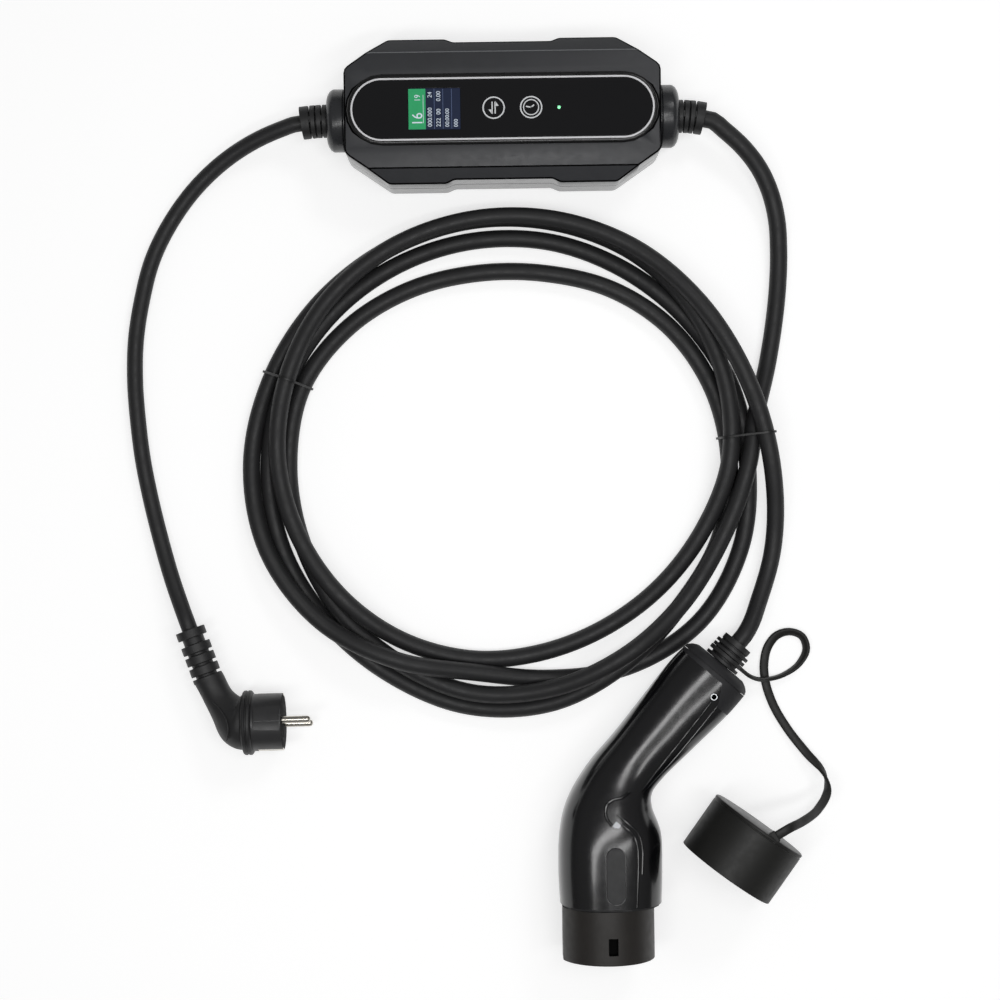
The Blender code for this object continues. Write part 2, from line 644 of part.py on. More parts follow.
def upper_shell():
    """The cover: sloping shoulders, the panel's raised rim and pocket, columns and windows."""
    reach = HALF_WIDTH + BOX_WALL
    across = Matrix(((0, 0, 1, 0), (1, 0, 0, 0), (0, 1, 0, 0), (0, 0, 0, 1)))
    shell = prism("upper_shell", [rounded(OUTLINE, CORNER_ROUND)], UPPER_BASE, RIM_TOP, SHELL_BLACK)
    shape_with(shell, prism("cover_roof", [roof(0.0, reach)], -BOX_LENGTH, BOX_LENGTH, SHELL_BLACK,
                            across), "INTERSECT")
    inner = rounded(inset_outline(OUTLINE, BOX_WALL), CORNER_ROUND - BOX_WALL / 2)
    hollow = prism("cover_hollow", [inner], UPPER_BASE - BOX_WALL, CEILING, SHELL_BLACK)
    shape_with(hollow, prism("cover_ceiling", [roof(BOX_WALL, reach)], -BOX_LENGTH, BOX_LENGTH,
                             SHELL_BLACK, across), "INTERSECT")
    cut(shell, hollow)
    rim_length = PANEL_LENGTH + 2 * (TRIM_WIDTH + 2 * CLEARANCE + RIM_WIDTH)
    rim_width = PANEL_WIDTH + 2 * (TRIM_WIDTH + 2 * CLEARANCE + RIM_WIDTH)
    join(shell, prism("panel_rim", [pill(rim_length, rim_width)], BOX_TOP - BOX_WALL / 2, RIM_TOP,
                      SHELL_BLACK))
    pocket = pill(PANEL_LENGTH + 2 * (TRIM_WIDTH + 2 * CLEARANCE),
                  PANEL_WIDTH + 2 * (TRIM_WIDTH + 2 * CLEARANCE))
    cut(shell, prism("panel_pocket", [pocket], POCKET_FLOOR, RIM_TOP + BOX_WALL, SHELL_BLACK))
    cut(shell, screen_window("cover_screen_window"))
    cut(shell, led_hole("cover_led_hole"))
    top = CEILING + BOX_WALL / 2
    for i, (x, y) in enumerate(SCREW_SPOTS):
        drop = max(0.0, abs(y) + BOSS_RADIUS - HALF_WIDTH + SHOULDER_WIDTH)
        column_top = top - drop * SHOULDER_DROP / SHOULDER_WIDTH - SHOULDER_STEP
        join(shell, rod(f"cover_column_{i}", UPPER_BASE, column_top, BOSS_RADIUS, SHELL_BLACK,
                        standing(x, y), 10))
        cut(shell, round_hole(f"cover_screw_hole_{i}", UPPER_BASE - BOX_WALL,
                              UPPER_BASE + SCREW_BITE + CLEARANCE, SCREW_HOLE, standing(x, y)))
    for side in (-1, 1):
        cut(shell, gland_hole(f"cover_gland_hole_{side + 1}", side))
    return shell


def gland_hole(name, side):
    """The round hole in an end wall, half in each shell."""
    return round_hole(name, HALF_LENGTH - 2 * BOX_WALL, HALF_LENGTH + BOX_WALL,
                      GLAND_SPIGOT_DIAMETER / 2 + CLEARANCE, gland_frame(side), 24)


def gland_frame(side):
    """A frame on the gland's axis whose +X points out of the box."""
    return facing((0.0, GLAND_Y, GLAND_HEIGHT), 0.0 if side > 0 else 180.0)


def screen_window(name):
    """The opening that the screen stands in."""
    window = rectangle(SCREEN_LENGTH + 2 * CLEARANCE, SCREEN_WIDTH + 2 * CLEARANCE, SCREEN_PLACE)
    return prism(name, [window], CEILING - BOX_WALL, RIM_TOP + BOX_WALL, SHELL_BLACK)


def led_hole(name):
    """The small hole over the status light."""
    return round_hole(name, CEILING - BOX_WALL, RIM_TOP + BOX_WALL, LED_DIAMETER / 2 + CLEARANCE,
                      standing(LED_PLACE, 0.0))


def board_post_spots():
    """Where the main board rests: near its four corners."""
    x = BOARD_LENGTH / 2 - BOARD_POST_INSET
    y = BOARD_WIDTH / 2 - BOARD_POST_INSET
    return [(a * x, b * y) for a in (-1, 1) for b in (-1, 1)]


def shell_gasket(name, side):
    """One of the two seals between the shells: a strip that runs from gland to gland."""
    outer = rounded(inset_outline(OUTLINE, GASKET_INSET), CORNER_ROUND)
    inner = rounded(inset_outline(OUTLINE, BOX_WALL), CORNER_ROUND - BOX_WALL / 2)
    gasket = prism(name, [outer, inner], LOWER_TOP + CLEARANCE,
                   LOWER_TOP + CLEARANCE + GASKET_THICKNESS, RUBBER_BLACK)
    gap = GLAND_SPIGOT_DIAMETER / 2 + CLEARANCE
    near, far = sorted((GLAND_Y + side * gap, -side * BOX_WIDTH))
    cut(gasket, block(f"{name}_gap", (-BOX_LENGTH, near, 0.0), (BOX_LENGTH, far, BOX_TOP),
                      RUBBER_BLACK))


def display():
    """Panel, trim ring, screen, status light and the board behind them."""
    panel = prism("display_panel", [pill(PANEL_LENGTH, PANEL_WIDTH)], PANEL_BASE, PANEL_TOP,
                  GLOSS_BLACK)
    cut(panel, screen_window("panel_screen_window"))
    cut(panel, led_hole("panel_led_hole"))
    outer = pill(PANEL_LENGTH + 2 * (TRIM_WIDTH + CLEARANCE), PANEL_WIDTH + 2 * (TRIM_WIDTH + CLEARANCE))
    inner = pill(PANEL_LENGTH + 2 * CLEARANCE, PANEL_WIDTH + 2 * CLEARANCE)
    prism("panel_trim_ring", [outer, inner], PANEL_BASE, PANEL_TOP, TRIM_WHITE)
    board_top = CEILING - 2 * CLEARANCE
    prism("display_board", [rectangle(DISPLAY_BOARD_END - DISPLAY_BOARD_START, DISPLAY_BOARD_WIDTH,
                                      (DISPLAY_BOARD_START + DISPLAY_BOARD_END) / 2)],
          board_top - BOARD_THICKNESS, board_top, BOARD_GREEN)
    prism("lcd_screen", [rectangle(SCREEN_LENGTH, SCREEN_WIDTH, SCREEN_PLACE)],
          board_top + CLEARANCE, PANEL_TOP - SCREEN_SINK, SCREEN_GREEN)
    rod("status_led", board_top + CLEARANCE, PANEL_TOP, LED_DIAMETER / 2, LED_GREEN,
        standing(LED_PLACE, 0.0), 12)


def on_board(name, size, x, y, skin):
    """A block of a given size on the main board."""
    base = BOARD_HEIGHT + BOARD_THICKNESS + CLEARANCE
    low = (x - size[0] / 2, y - size[1] / 2, base)
    return block(name, low, (x + size[0] / 2, y + size[1] / 2, base + size[2]), skin)


def electronics():
    """Main board with its relays, transformer, leakage sensor, capacitor and terminals."""
    prism("main_board", [rectangle(BOARD_LENGTH, BOARD_WIDTH)], BOARD_HEIGHT,
          BOARD_HEIGHT + BOARD_THICKNESS, BOARD_GREEN)
    on_board("live_relay", RELAY_SIZE, RELAY_PLACE, RELAY_ROW, PART_BLUE)
    on_board("neutral_relay", RELAY_SIZE, RELAY_PLACE, -RELAY_ROW, PART_BLUE)
    on_board("power_transformer", TRANSFORMER_SIZE, TRANSFORMER_PLACE, RELAY_ROW, PART_GREY)
    on_board("input_terminal_block", TERMINAL_SIZE, -TERMINAL_PLACE, GLAND_Y, PART_GREY)
    on_board("output_terminal_block", TERMINAL_SIZE, TERMINAL_PLACE, GLAND_Y, PART_GREY)
    base = BOARD_HEIGHT + BOARD_THICKNESS + CLEARANCE
    rod("supply_capacitor", base, base + CAPACITOR_HEIGHT, CAPACITOR_DIAMETER / 2, SHELL_BLACK,
        standing(CAPACITOR_PLACE, RELAY_ROW), 20)
    turned("leakage_sensor", [
        (base + SENSOR_HEIGHT, SENSOR_BORE / 2), (base + SENSOR_HEIGHT, SENSOR_DIAMETER / 2),
        (base, SENSOR_DIAMETER / 2), (base, SENSOR_BORE / 2),
        (base + SENSOR_HEIGHT, SENSOR_BORE / 2)], PART_GREY, standing(SENSOR_PLACE, -SENSOR_ROW), 24)


def box_screws():
    """Six screws that go up through the tray into the cover."""
    for i, (x, y) in enumerate(SCREW_SPOTS):
        screw(f"shell_screw_{i + 1}", SHELL_SCREW_SEAT - CLEARANCE, UPPER_BASE + SCREW_BITE,
              standing(x, y))


def gland(name, side):
    """Round collar on an end wall, with a spigot and a lip that the two shells grip."""
    start = HALF_LENGTH + CLEARANCE
    end = start + GLAND_LENGTH
    radius = GLAND_DIAMETER / 2
    lip = HALF_LENGTH - BOX_WALL - CLEARANCE
    stub = max(INPUT_CABLE_DIAMETER, OUTPUT_CABLE_DIAMETER) / 2 + CLEARANCE
    profile = [
        (end, stub), (end, radius - GLAND_ROUND), (end - 0.3 * GLAND_ROUND, radius - 0.3 * GLAND_ROUND),
        (end - GLAND_ROUND, radius), (start + GLAND_RING_LENGTH, radius),
        (start + GLAND_RING_LENGTH, radius - GLAND_RING_STEP), (start, radius - GLAND_RING_STEP),
        (start, GLAND_SPIGOT_DIAMETER / 2), (lip, GLAND_SPIGOT_DIAMETER / 2),
        (lip, GLAND_LIP_DIAMETER / 2), (lip - GLAND_LIP_LENGTH, GLAND_LIP_DIAMETER / 2),
        (lip - GLAND_LIP_LENGTH, stub), (end, stub)]
    turned(name, profile, SHELL_BLACK, gland_frame(side), 20)


def relief_rings(side, bend, cable_radius):
    """Rings of a ribbed relief that leaves the gland straight and bends towards -Y."""
    start = HALF_LENGTH + CLEARANCE + GLAND_LENGTH + CLEARANCE
    stub_end = HALF_LENGTH - BOX_WALL - CLEARANCE - GLAND_LIP_LENGTH - RELIEF_STUB_REACH
    pitch = RELIEF_LENGTH / RELIEF_RIBS
    rows = [(stub_end - start, cable_radius), (0.0, cable_radius)]
    for rib in range(RELIEF_RIBS):
        rows += [(rib * pitch, RELIEF_DIAMETER / 2),
                 (rib * pitch + pitch * RELIEF_RIB_SHARE, RELIEF_DIAMETER / 2)]
        if rib < RELIEF_RIBS - 1:
            rows += [(rib * pitch + pitch * RELIEF_RIB_SHARE, RELIEF_CORE_DIAMETER / 2),
                     ((rib + 1) * pitch, RELIEF_CORE_DIAMETER / 2)]
    rings = []
    for place, radius in rows:
        share = max(place, 0.0) / RELIEF_LENGTH
        turn = radians(bend) * share
        x = start + place * (1 - turn * turn / 6) if place > 0 else start + place
        y = GLAND_Y - max(place, 0.0) * turn / 2
        heading = -degrees(turn) if side > 0 else 180.0 + degrees(turn)
        rings.append(upright((side * x, y, GLAND_HEIGHT), heading,
                             oval(radius, radius, count=14)))
    return rings


def relief_end(side, bend):
    """A frame on the outer face of a relief whose +X leads away along the cable."""
    start = HALF_LENGTH + 2 * CLEARANCE + GLAND_LENGTH
    last = RELIEF_LENGTH - RELIEF_LENGTH / RELIEF_RIBS * (1 - RELIEF_RIB_SHARE)
    turn = radians(bend) * last / RELIEF_LENGTH
    place = (side * (start + last * (1 - turn * turn / 6)), GLAND_Y - last * turn / 2, GLAND_HEIGHT)
    return facing(place, -degrees(turn) if side > 0 else 180.0 + degrees(turn))


def box_ends():
    """Glands, strain reliefs and the wiring that runs from them to the terminals."""
    gland("input_gland", -1)
    gland("output_gland", 1)
    loft("input_strain_relief", relief_rings(-1, INPUT_RELIEF_BEND, INPUT_CABLE_DIAMETER / 2),
         RUBBER_BLACK)
    loft("output_strain_relief", relief_rings(1, OUTPUT_RELIEF_BEND, OUTPUT_CABLE_DIAMETER / 2),
         RUBBER_BLACK)
    inside = HALF_LENGTH - BOX_WALL - 2 * CLEARANCE - GLAND_LIP_LENGTH - RELIEF_STUB_REACH
    terminal = TERMINAL_PLACE + TERMINAL_SIZE[0] / 2 + CLEARANCE
    height = BOARD_HEIGHT + BOARD_THICKNESS + TERMINAL_SIZE[2] / 2
    for name, side in (("input_wiring", -1), ("output_wiring", 1)):
        rows = [(side * inside, GLAND_Y, GLAND_HEIGHT),
                (side * (inside * 0.75 + terminal * 0.25), GLAND_Y, GLAND_HEIGHT),
                (side * (inside * 0.25 + terminal * 0.75), GLAND_Y, height),
                (side * terminal, GLAND_Y, height)]
        tube(name, smooth_rows(rows, 2), WIRING_DIAMETER, PART_GREY)


# Plug: frame on its axis at the collar's back, +X towards the pins
PLUG_FRAME = facing((*PLUG_COLLAR_PLACE, PLUG_AXIS_HEIGHT), PLUG_TURN, PLUG_ROLL)
FACE_START = PLUG_COLLAR_LENGTH + CLEARANCE
FACE_END = FACE_START + PLUG_FACE_LENGTH


def along(place, heading, distance):
    """A point some way from a place along a heading."""
    x = place[0] + cos(radians(heading)) * distance
    y = place[1] + sin(radians(heading)) * distance
    return (x, y, place[2])


def plug_body():
    """Soft moulding: ribbed relief, elbow and collar in one piece."""
    rows = [(0.0, PLUG_RELIEF_DIAMETER / 2), (PLUG_RELIEF_FIRST_RIB, PLUG_RELIEF_DIAMETER / 2)]
    place = PLUG_RELIEF_FIRST_RIB
    for groove in range(PLUG_RELIEF_GROOVES):
        rows += [(place, PLUG_RELIEF_CORE_DIAMETER / 2),
                 (place + PLUG_RELIEF_GROOVE, PLUG_RELIEF_CORE_DIAMETER / 2),
                 (place + PLUG_RELIEF_GROOVE, PLUG_RELIEF_DIAMETER / 2)]
        place += PLUG_RELIEF_GROOVE
        if groove < PLUG_RELIEF_GROOVES - 1:
            rows.append((place + PLUG_RELIEF_RIB, PLUG_RELIEF_DIAMETER / 2))
            place += PLUG_RELIEF_RIB
    rise = (ELBOW_ROWS[0][2] - PLUG_RELIEF_END[2]) / (place + PLUG_RELIEF_RIB)
    rings = []
    for distance, radius in rows:
        x, y, z = along(PLUG_RELIEF_END, PLUG_RELIEF_HEADING, distance)
        rings.append(upright((x, y, z + rise * distance), PLUG_RELIEF_HEADING,
                             oval(radius, radius, count=PLUG_SIDES)))
    for x, y, z, heading, half_width, half_height in smooth_rows(ELBOW_ROWS, 2):
        rings.append(upright((x, y, z), heading, oval(half_width, half_height, count=PLUG_SIDES)))
    collar = PLUG_COLLAR_DIAMETER / 2
    grip = PLUG_GRIP_DIAMETER / 2
    for distance, radius in ((0.0, grip), (CLEARANCE, collar - PLUG_COLLAR_ROUND),
                             (PLUG_COLLAR_ROUND, collar),
                             (PLUG_COLLAR_LENGTH - PLUG_COLLAR_ROUND, collar),
                             (PLUG_COLLAR_LENGTH, collar - PLUG_COLLAR_ROUND)):
        centre = along((*PLUG_COLLAR_PLACE, PLUG_AXIS_HEIGHT), PLUG_TURN, distance)
        rings.append(upright(centre, PLUG_TURN, oval(radius, radius, count=PLUG_SIDES)))
    body = loft("plug_body", rings, RUBBER_BLACK)
    cut(body, round_hole("tenon_socket", FACE_START - PLUG_TENON_LENGTH - 2 * CLEARANCE,
                         FACE_END, PLUG_TENON_DIAMETER / 2 + CLEARANCE, PLUG_FRAME, 24))
    for i, side in enumerate((-1, 1)):
        cut(body, round_hole(f"pin_root_hole_{i}", -PIN_ROOT, FACE_START,
                             PIN_DIAMETER / 2 + CLEARANCE,
                             PLUG_FRAME @ Matrix.Translation((0, 0, side * PIN_SPACING / 2))))
    return body


def plug_face():
    """Hard insert that carries the pins, with guide flats, earth strips and the earth hole."""
    radius = PLUG_FACE_DIAMETER / 2
    face = turned("plug_face", [
        (FACE_END, 0.0), (FACE_END, radius - EDGE_ROUND), (FACE_END - EDGE_ROUND, radius),
        (FACE_START, radius), (FACE_START, PLUG_TENON_DIAMETER / 2),
        (FACE_START - PLUG_TENON_LENGTH, PLUG_TENON_DIAMETER / 2),
        (FACE_START - PLUG_TENON_LENGTH, 0.0)], GLOSS_BLACK, PLUG_FRAME, 24)
    for i, side in enumerate((-1, 1)):
        near, far = sorted((side * (radius - GUIDE_DEPTH), side * (radius + GUIDE_DEPTH)))
        start = FACE_END - PLUG_FACE_LENGTH / 2 - GUIDE_LENGTH / 2
        cut(face, block(f"guide_flat_{i}", (start, -GUIDE_WIDTH / 2, near),
                        (start + GUIDE_LENGTH, GUIDE_WIDTH / 2, far), GLOSS_BLACK, PLUG_FRAME))
        low, high = sorted((side * (radius - EARTH_STRIP_THICKNESS - 2 * CLEARANCE),
                            side * (radius + EARTH_STRIP_THICKNESS)))
        width = EARTH_STRIP_WIDTH / 2 + CLEARANCE
        cut(face, block(f"earth_slot_{i}", (FACE_END - EARTH_STRIP_LENGTH - CLEARANCE, low, -width),
                        (FACE_END + CLEARANCE, high, width), GLOSS_BLACK, PLUG_FRAME))
        cut(face, round_hole(f"pin_hole_{i}", -PIN_ROOT, FACE_END + CLEARANCE,
                             PIN_DIAMETER / 2 + CLEARANCE,
                             PLUG_FRAME @ Matrix.Translation((0, 0, side * PIN_SPACING / 2))))
    cut(face, round_hole("earth_hole", FACE_END - EARTH_HOLE_DEPTH, FACE_END + CLEARANCE,
                         EARTH_HOLE_DIAMETER / 2,
                         PLUG_FRAME @ Matrix.Translation((0, -EARTH_HOLE_PLACE, 0))))
    return face


def plug_metal():
    """The two pins and the two earth strips."""
    tip = FACE_END + PIN_LENGTH
    radius = PIN_DIAMETER / 2
    for name, side in (("live_pin", 1), ("neutral_pin", -1)):
        turned(name, [(tip, 0.0), (tip, radius * 0.5), (tip - radius * 0.35, radius * 0.87),
                      (tip - radius, radius), (CLEARANCE - PIN_ROOT, radius),
                      (CLEARANCE - PIN_ROOT, 0.0)], NICKEL,
               PLUG_FRAME @ Matrix.Translation((0, 0, side * PIN_SPACING / 2)), 12)
    for name, side in (("earth_strip_left", 1), ("earth_strip_right", -1)):
        floor = PLUG_FACE_DIAMETER / 2 - EARTH_STRIP_THICKNESS - CLEARANCE
        low, high = sorted((side * floor, side * (floor + EARTH_STRIP_THICKNESS)))
        block(name, (FACE_END - EARTH_STRIP_LENGTH, low, -EARTH_STRIP_WIDTH / 2),
              (FACE_END, high, EARTH_STRIP_WIDTH / 2), NICKEL, PLUG_FRAME)


# Connector: frames of its nose and of its rear end, and the smooth rows of its grip
HEAD_FRAME = facing(HEAD_PLACE, HEAD_HEADING)
NOSE_FRAME = HEAD_FRAME @ Matrix.Translation((0.0, NOSE_OFFSET, 0.0))
REAR_HEADING = GRIP_ROWS[0][3] + 180.0
REAR_FRAME = facing(GRIP_ROWS[0][:3], REAR_HEADING)
GRIP_STATIONS = smooth_rows(GRIP_ROWS, 2)
NOSE_START = NOSE_STEP
NOSE_END = NOSE_LENGTH
SLEEVE_TIP = NOSE_END - SLEEVE_SINK


def grip_half(name, side):
    """One half shell of the grip: a C-shaped wall from the rear end to the head."""
    rings = []
    for x, y, z, heading, half_width, half_height in GRIP_STATIONS:
        outer = oval(half_width, half_height, GRIP_POWER, GRIP_SIDES // 2, 0.0, 180.0)
        inner = oval(half_width - GRIP_WALL, half_height - GRIP_WALL, GRIP_POWER, GRIP_SIDES // 2,
                     0.0, 180.0)
        wall = outer + list(reversed(inner))
        spots = [(a, side * (b + GRIP_SEAM / 2)) for a, b in wall]
        rings.append(upright((x, y, z), heading, spots))
    return loft(name, rings, GLOSS_BLACK)


def grip_screw_frames():
    """Places of the grip's screws on the seam plane, +X pointing up, and the wall's height there."""
    spots = []
    for index, lateral in ((REAR_SCREW_INDEX, GRIP_SCREW_LATERAL),
                           (REAR_SCREW_INDEX, -GRIP_SCREW_LATERAL),
                           (HEAD_SCREW_INDEX, HEAD_SCREW_LATERAL),
                           (HEAD_SCREW_INDEX, -HEAD_SCREW_LATERAL)):
        x, y, z, heading, half_width, half_height = GRIP_STATIONS[index]
        centre = upright((x, y, z), heading, [(lateral, 0.0)])[0]
        reach = oval_height(half_width, half_height, abs(lateral) + BOSS_RADIUS)
        spots.append((Matrix.Translation(centre) @ UP, reach - GRIP_WALL / 3))
    return spots


def grip():
    """Both half shells with their screw columns, the screws, and the bare badge plate."""
    upper = grip_half("grip_shell_upper", 1)
    lower = grip_half("grip_shell_lower", -1)
    for i, (frame, reach) in enumerate(grip_screw_frames()):
        join(lower, rod(f"grip_low_column_{i}", -reach, -GRIP_SEAM / 2 - CLEARANCE, BOSS_RADIUS,
                        GLOSS_BLACK, frame, 12))
        cut(lower, bore(f"grip_low_hole_{i}", [
            (GRIP_WALL, 0.0), (GRIP_WALL, SCREW_HOLE), (-GRIP_SCREW_SEAT, SCREW_HOLE),
            (-GRIP_SCREW_SEAT, HEAD_HOLE), (-2 * reach, HEAD_HOLE), (-2 * reach, 0.0)], frame))
        join(upper, rod(f"grip_high_column_{i}", GRIP_SEAM / 2 + CLEARANCE, reach, BOSS_RADIUS,
                        GLOSS_BLACK, frame, 12))
        cut(upper, round_hole(f"grip_high_hole_{i}", -GRIP_WALL, GRIP_SCREW_BITE + CLEARANCE,
                              SCREW_HOLE, frame))
        screw(f"grip_screw_{i + 1}", -GRIP_SCREW_SEAT - CLEARANCE, GRIP_SCREW_BITE, frame)
    badge_top = HEAD_PLACE[2] + oval_height(GRIP_ROWS[-2][4], GRIP_ROWS[-2][5], BADGE_WIDTH / 2)
    badge = facing((*BADGE_PLACE, badge_top - BADGE_THICKNESS), HEAD_HEADING)
    margin = 2 * CLEARANCE
    cut(upper, prism("badge_recess", [pill(BADGE_LENGTH + margin, BADGE_WIDTH + margin)],
                     -CLEARANCE, GRIP_WALL, GLOSS_BLACK, badge))
    prism("badge_plate", [pill(BADGE_LENGTH, BADGE_WIDTH)], 0.0, BADGE_THICKNESS, GLOSS_BLACK, badge)


def contact_spots():
    """Contacts by name: across, up, sleeve radius, bore radius."""
    power = (POWER_SLEEVE_DIAMETER / 2, POWER_PIN_BORE / 2)
    pilot = (PILOT_SLEEVE_DIAMETER / 2, PILOT_PIN_BORE / 2)
    return {
        "live_contact": (0.0, POWER_SPACING, *power),
        "earth_contact": (0.0, 0.0, *power),
        "neutral_contact": (0.0, -POWER_SPACING, *power),
        "pilot_contact": (PILOT_ROW, PILOT_SPACING / 2, *pilot),
        "proximity_contact": (PILOT_ROW, -PILOT_SPACING / 2, *pilot),
    }


def nose():
    """Round nose with one flat, its contact holes and lock slots, and its contacts and seal."""
    radius = NOSE_DIAMETER / 2
    insert = turned("nose_insert", [
        (NOSE_END, 0.0), (NOSE_END, radius - EDGE_ROUND), (NOSE_END - EDGE_ROUND, radius),
        (NOSE_START, radius), (NOSE_START, 0.0)], NOSE_BLACK, NOSE_FRAME, 30)
    half_width = GRIP_ROWS[-1][4] - GRIP_WALL - CLEARANCE
    half_height = GRIP_ROWS[-1][5] - GRIP_WALL - CLEARANCE
    spigot = oval(half_width, half_height, GRIP_POWER, GRIP_SIDES)
    across = HEAD_FRAME @ Matrix(((0, 0, 1, 0), (1, 0, 0, 0), (0, 1, 0, 0), (0, 0, 0, 1)))
    join(insert, prism("nose_spigot", [spigot], -NOSE_SPIGOT_LENGTH, NOSE_START + CLEARANCE,
                       NOSE_BLACK, across))
    cut(insert, block("nose_flat", (NOSE_START - CLEARANCE, -2 * radius, -2 * radius),
                      (NOSE_END + radius, NOSE_FLAT_CUT - radius, 2 * radius), NOSE_BLACK, NOSE_FRAME))
    for name, (across_nose, up, sleeve, socket) in contact_spots().items():
        frame = NOSE_FRAME @ Matrix.Translation((0.0, across_nose, up))
        hole = sleeve + CLEARANCE
        mouth = sleeve + HOLE_MARGIN
        cut(insert, bore(f"{name}_hole", [
            (NOSE_END + HOLE_MARGIN, 0.0), (NOSE_END + HOLE_MARGIN, mouth),
            (SLEEVE_TIP - HOLE_MARGIN, mouth), (SLEEVE_TIP - HOLE_MARGIN, hole),
            (-2 * NOSE_SPIGOT_LENGTH, hole), (-2 * NOSE_SPIGOT_LENGTH, 0.0)], frame, 14))
        tail = -NOSE_SPIGOT_LENGTH - SLEEVE_TAIL
        turned(name, [(SLEEVE_TIP, socket), (SLEEVE_TIP, sleeve), (tail, sleeve), (tail, 0.0),
                      (SLEEVE_TIP - SLEEVE_BORE_DEPTH, 0.0), (SLEEVE_TIP - SLEEVE_BORE_DEPTH, socket),
                      (SLEEVE_TIP, socket)], NICKEL, frame, 12)
    for i, side in enumerate((-1, 1)):
        cut(insert, round_hole(f"spare_hole_{i}", SLEEVE_TIP - SLEEVE_BORE_DEPTH,
                               NOSE_END + HOLE_MARGIN, POWER_SLEEVE_DIAMETER / 2 + HOLE_MARGIN,
                               NOSE_FRAME @ Matrix.Translation((0.0, SPARE_ROW, side * POWER_SPACING / 2)),
                               14))
    slot = LOCK_SLOT_LENGTH / 2
    cut(insert, block("top_lock_slot", (LOCK_SLOT_PLACE - slot, -LOCK_SLOT_WIDTH / 2 - NOSE_OFFSET,
                                        radius - LOCK_SLOT_DEPTH),
                      (LOCK_SLOT_PLACE + slot, LOCK_SLOT_WIDTH / 2 - NOSE_OFFSET, 2 * radius),
                      NOSE_BLACK, NOSE_FRAME))
    flat = NOSE_FLAT_CUT - radius
    cut(insert, block("side_lock_slot", (SIDE_SLOT_PLACE - slot, -2 * radius, -LOCK_SLOT_WIDTH / 2),
                      (SIDE_SLOT_PLACE + slot, flat + LOCK_SLOT_DEPTH, LOCK_SLOT_WIDTH / 2),
                      NOSE_BLACK, NOSE_FRAME))
    seal_outer = oval(GRIP_ROWS[-1][4] - GRIP_WALL / 2, GRIP_ROWS[-1][5] - GRIP_WALL / 2, GRIP_POWER,
                      GRIP_SIDES)
    seal_inner = oval(half_width + CLEARANCE, half_height + CLEARANCE, GRIP_POWER, GRIP_SIDES)
    prism("nose_seal", [seal_outer, seal_inner], CLEARANCE, NOSE_START - CLEARANCE, RUBBER_BLACK,
          across)


def rear_end():
    """Rear cap, ribbed relief with the strap's ring, cable clamp and inner wiring."""
    x, y, z, heading, half_width, half_height = GRIP_STATIONS[0]
    stub = OUTPUT_CABLE_DIAMETER / 2
    rings = []
    for distance, taper in ((CLEARANCE, 0.0), (REAR_CAP_LENGTH * 0.4, REAR_CAP_TAPER * 0.12),
                            (REAR_CAP_LENGTH, REAR_CAP_TAPER)):
        centre = along((x, y, z), REAR_HEADING, distance)
        rings.append(upright(centre, REAR_HEADING, oval(half_width - taper, half_height - taper,
                                                         GRIP_POWER, GRIP_SIDES)))
    rear = loft("rear_cap", rings, SHELL_BLACK)
    cut(rear, round_hole("rear_cap_hole", -REAR_CAP_LENGTH, 2 * REAR_CAP_LENGTH, stub + CLEARANCE,
                         REAR_FRAME, 20))
    base = REAR_CAP_LENGTH + CLEARANCE
    rib = CONNECTOR_RELIEF_DIAMETER / 2
    core = CONNECTOR_RELIEF_CORE / 2
    tail = CONNECTOR_TAIL_DIAMETER / 2
    tail_core = CONNECTOR_TAIL_CORE / 2
    ring_start = base + CONNECTOR_FIRST_RIB
    ring_end = ring_start + STRAP_RING_WIDTH + 2 * CLEARANCE
    second = ring_end + CONNECTOR_RIB
    third = second + CONNECTOR_GROOVE + CONNECTOR_RIB
    tail_start = third + CONNECTOR_GROOVE
    tail_end = tail_start + CONNECTOR_TAIL_LENGTH
    places = [(base, rib), (ring_start, rib), (ring_start, core), (ring_end, core), (ring_end, rib),
              (second, rib), (second, core), (second + CONNECTOR_GROOVE, core),
              (second + CONNECTOR_GROOVE, rib), (third, rib), (third, tail_core),
              (tail_start, tail_core), (tail_start, tail), (tail_end, tail)]
    profile = [(tail_end, 0.0)] + list(reversed(places))
    profile += [(base, stub), (-CONNECTOR_STUB_REACH, stub), (-CONNECTOR_STUB_REACH, 0.0)]
    turned("connector_strain_relief", profile, RUBBER_BLACK, REAR_FRAME, 20)
    near = ring_start + CLEARANCE
    inner = core + CLEARANCE
    outer = inner + STRAP_RING_WALL
    far = near + STRAP_RING_WIDTH
    turned("strap_ring", [(far, inner), (far, outer), (near, outer), (near, inner), (far, inner)],
           RUBBER_BLACK, REAR_FRAME, 20)
    clamp_half = oval_height(half_width - GRIP_WALL, half_height - GRIP_WALL, CLAMP_WIDTH / 2)
    clamp = block("cable_clamp", (-CLAMP_LENGTH - 2 * CLEARANCE, -CLAMP_WIDTH / 2,
                                  CLEARANCE - clamp_half),
                  (-2 * CLEARANCE, CLAMP_WIDTH / 2, clamp_half - CLEARANCE), PART_GREY, REAR_FRAME)
    cut(clamp, round_hole("clamp_hole", -2 * CLAMP_LENGTH, CLAMP_LENGTH, stub + CLEARANCE,
                          REAR_FRAME, 20))
    start = along((x, y, z), REAR_HEADING, -CONNECTOR_STUB_REACH - CLEARANCE)
    contact = -NOSE_SPIGOT_LENGTH - SLEEVE_TAIL - CLEARANCE
    last = [tuple(NOSE_FRAME @ Vector((contact - gap, 0.0, 0.0))) for gap in (GRIP_WIRING_STRAIGHT, 0.0)]
    path = [start] + [row[:3] for row in GRIP_ROWS[2:6]] + last
    tube("grip_wiring", smooth_rows(path, 2), WIRING_DIAMETER, PART_GREY)
    return tail_end


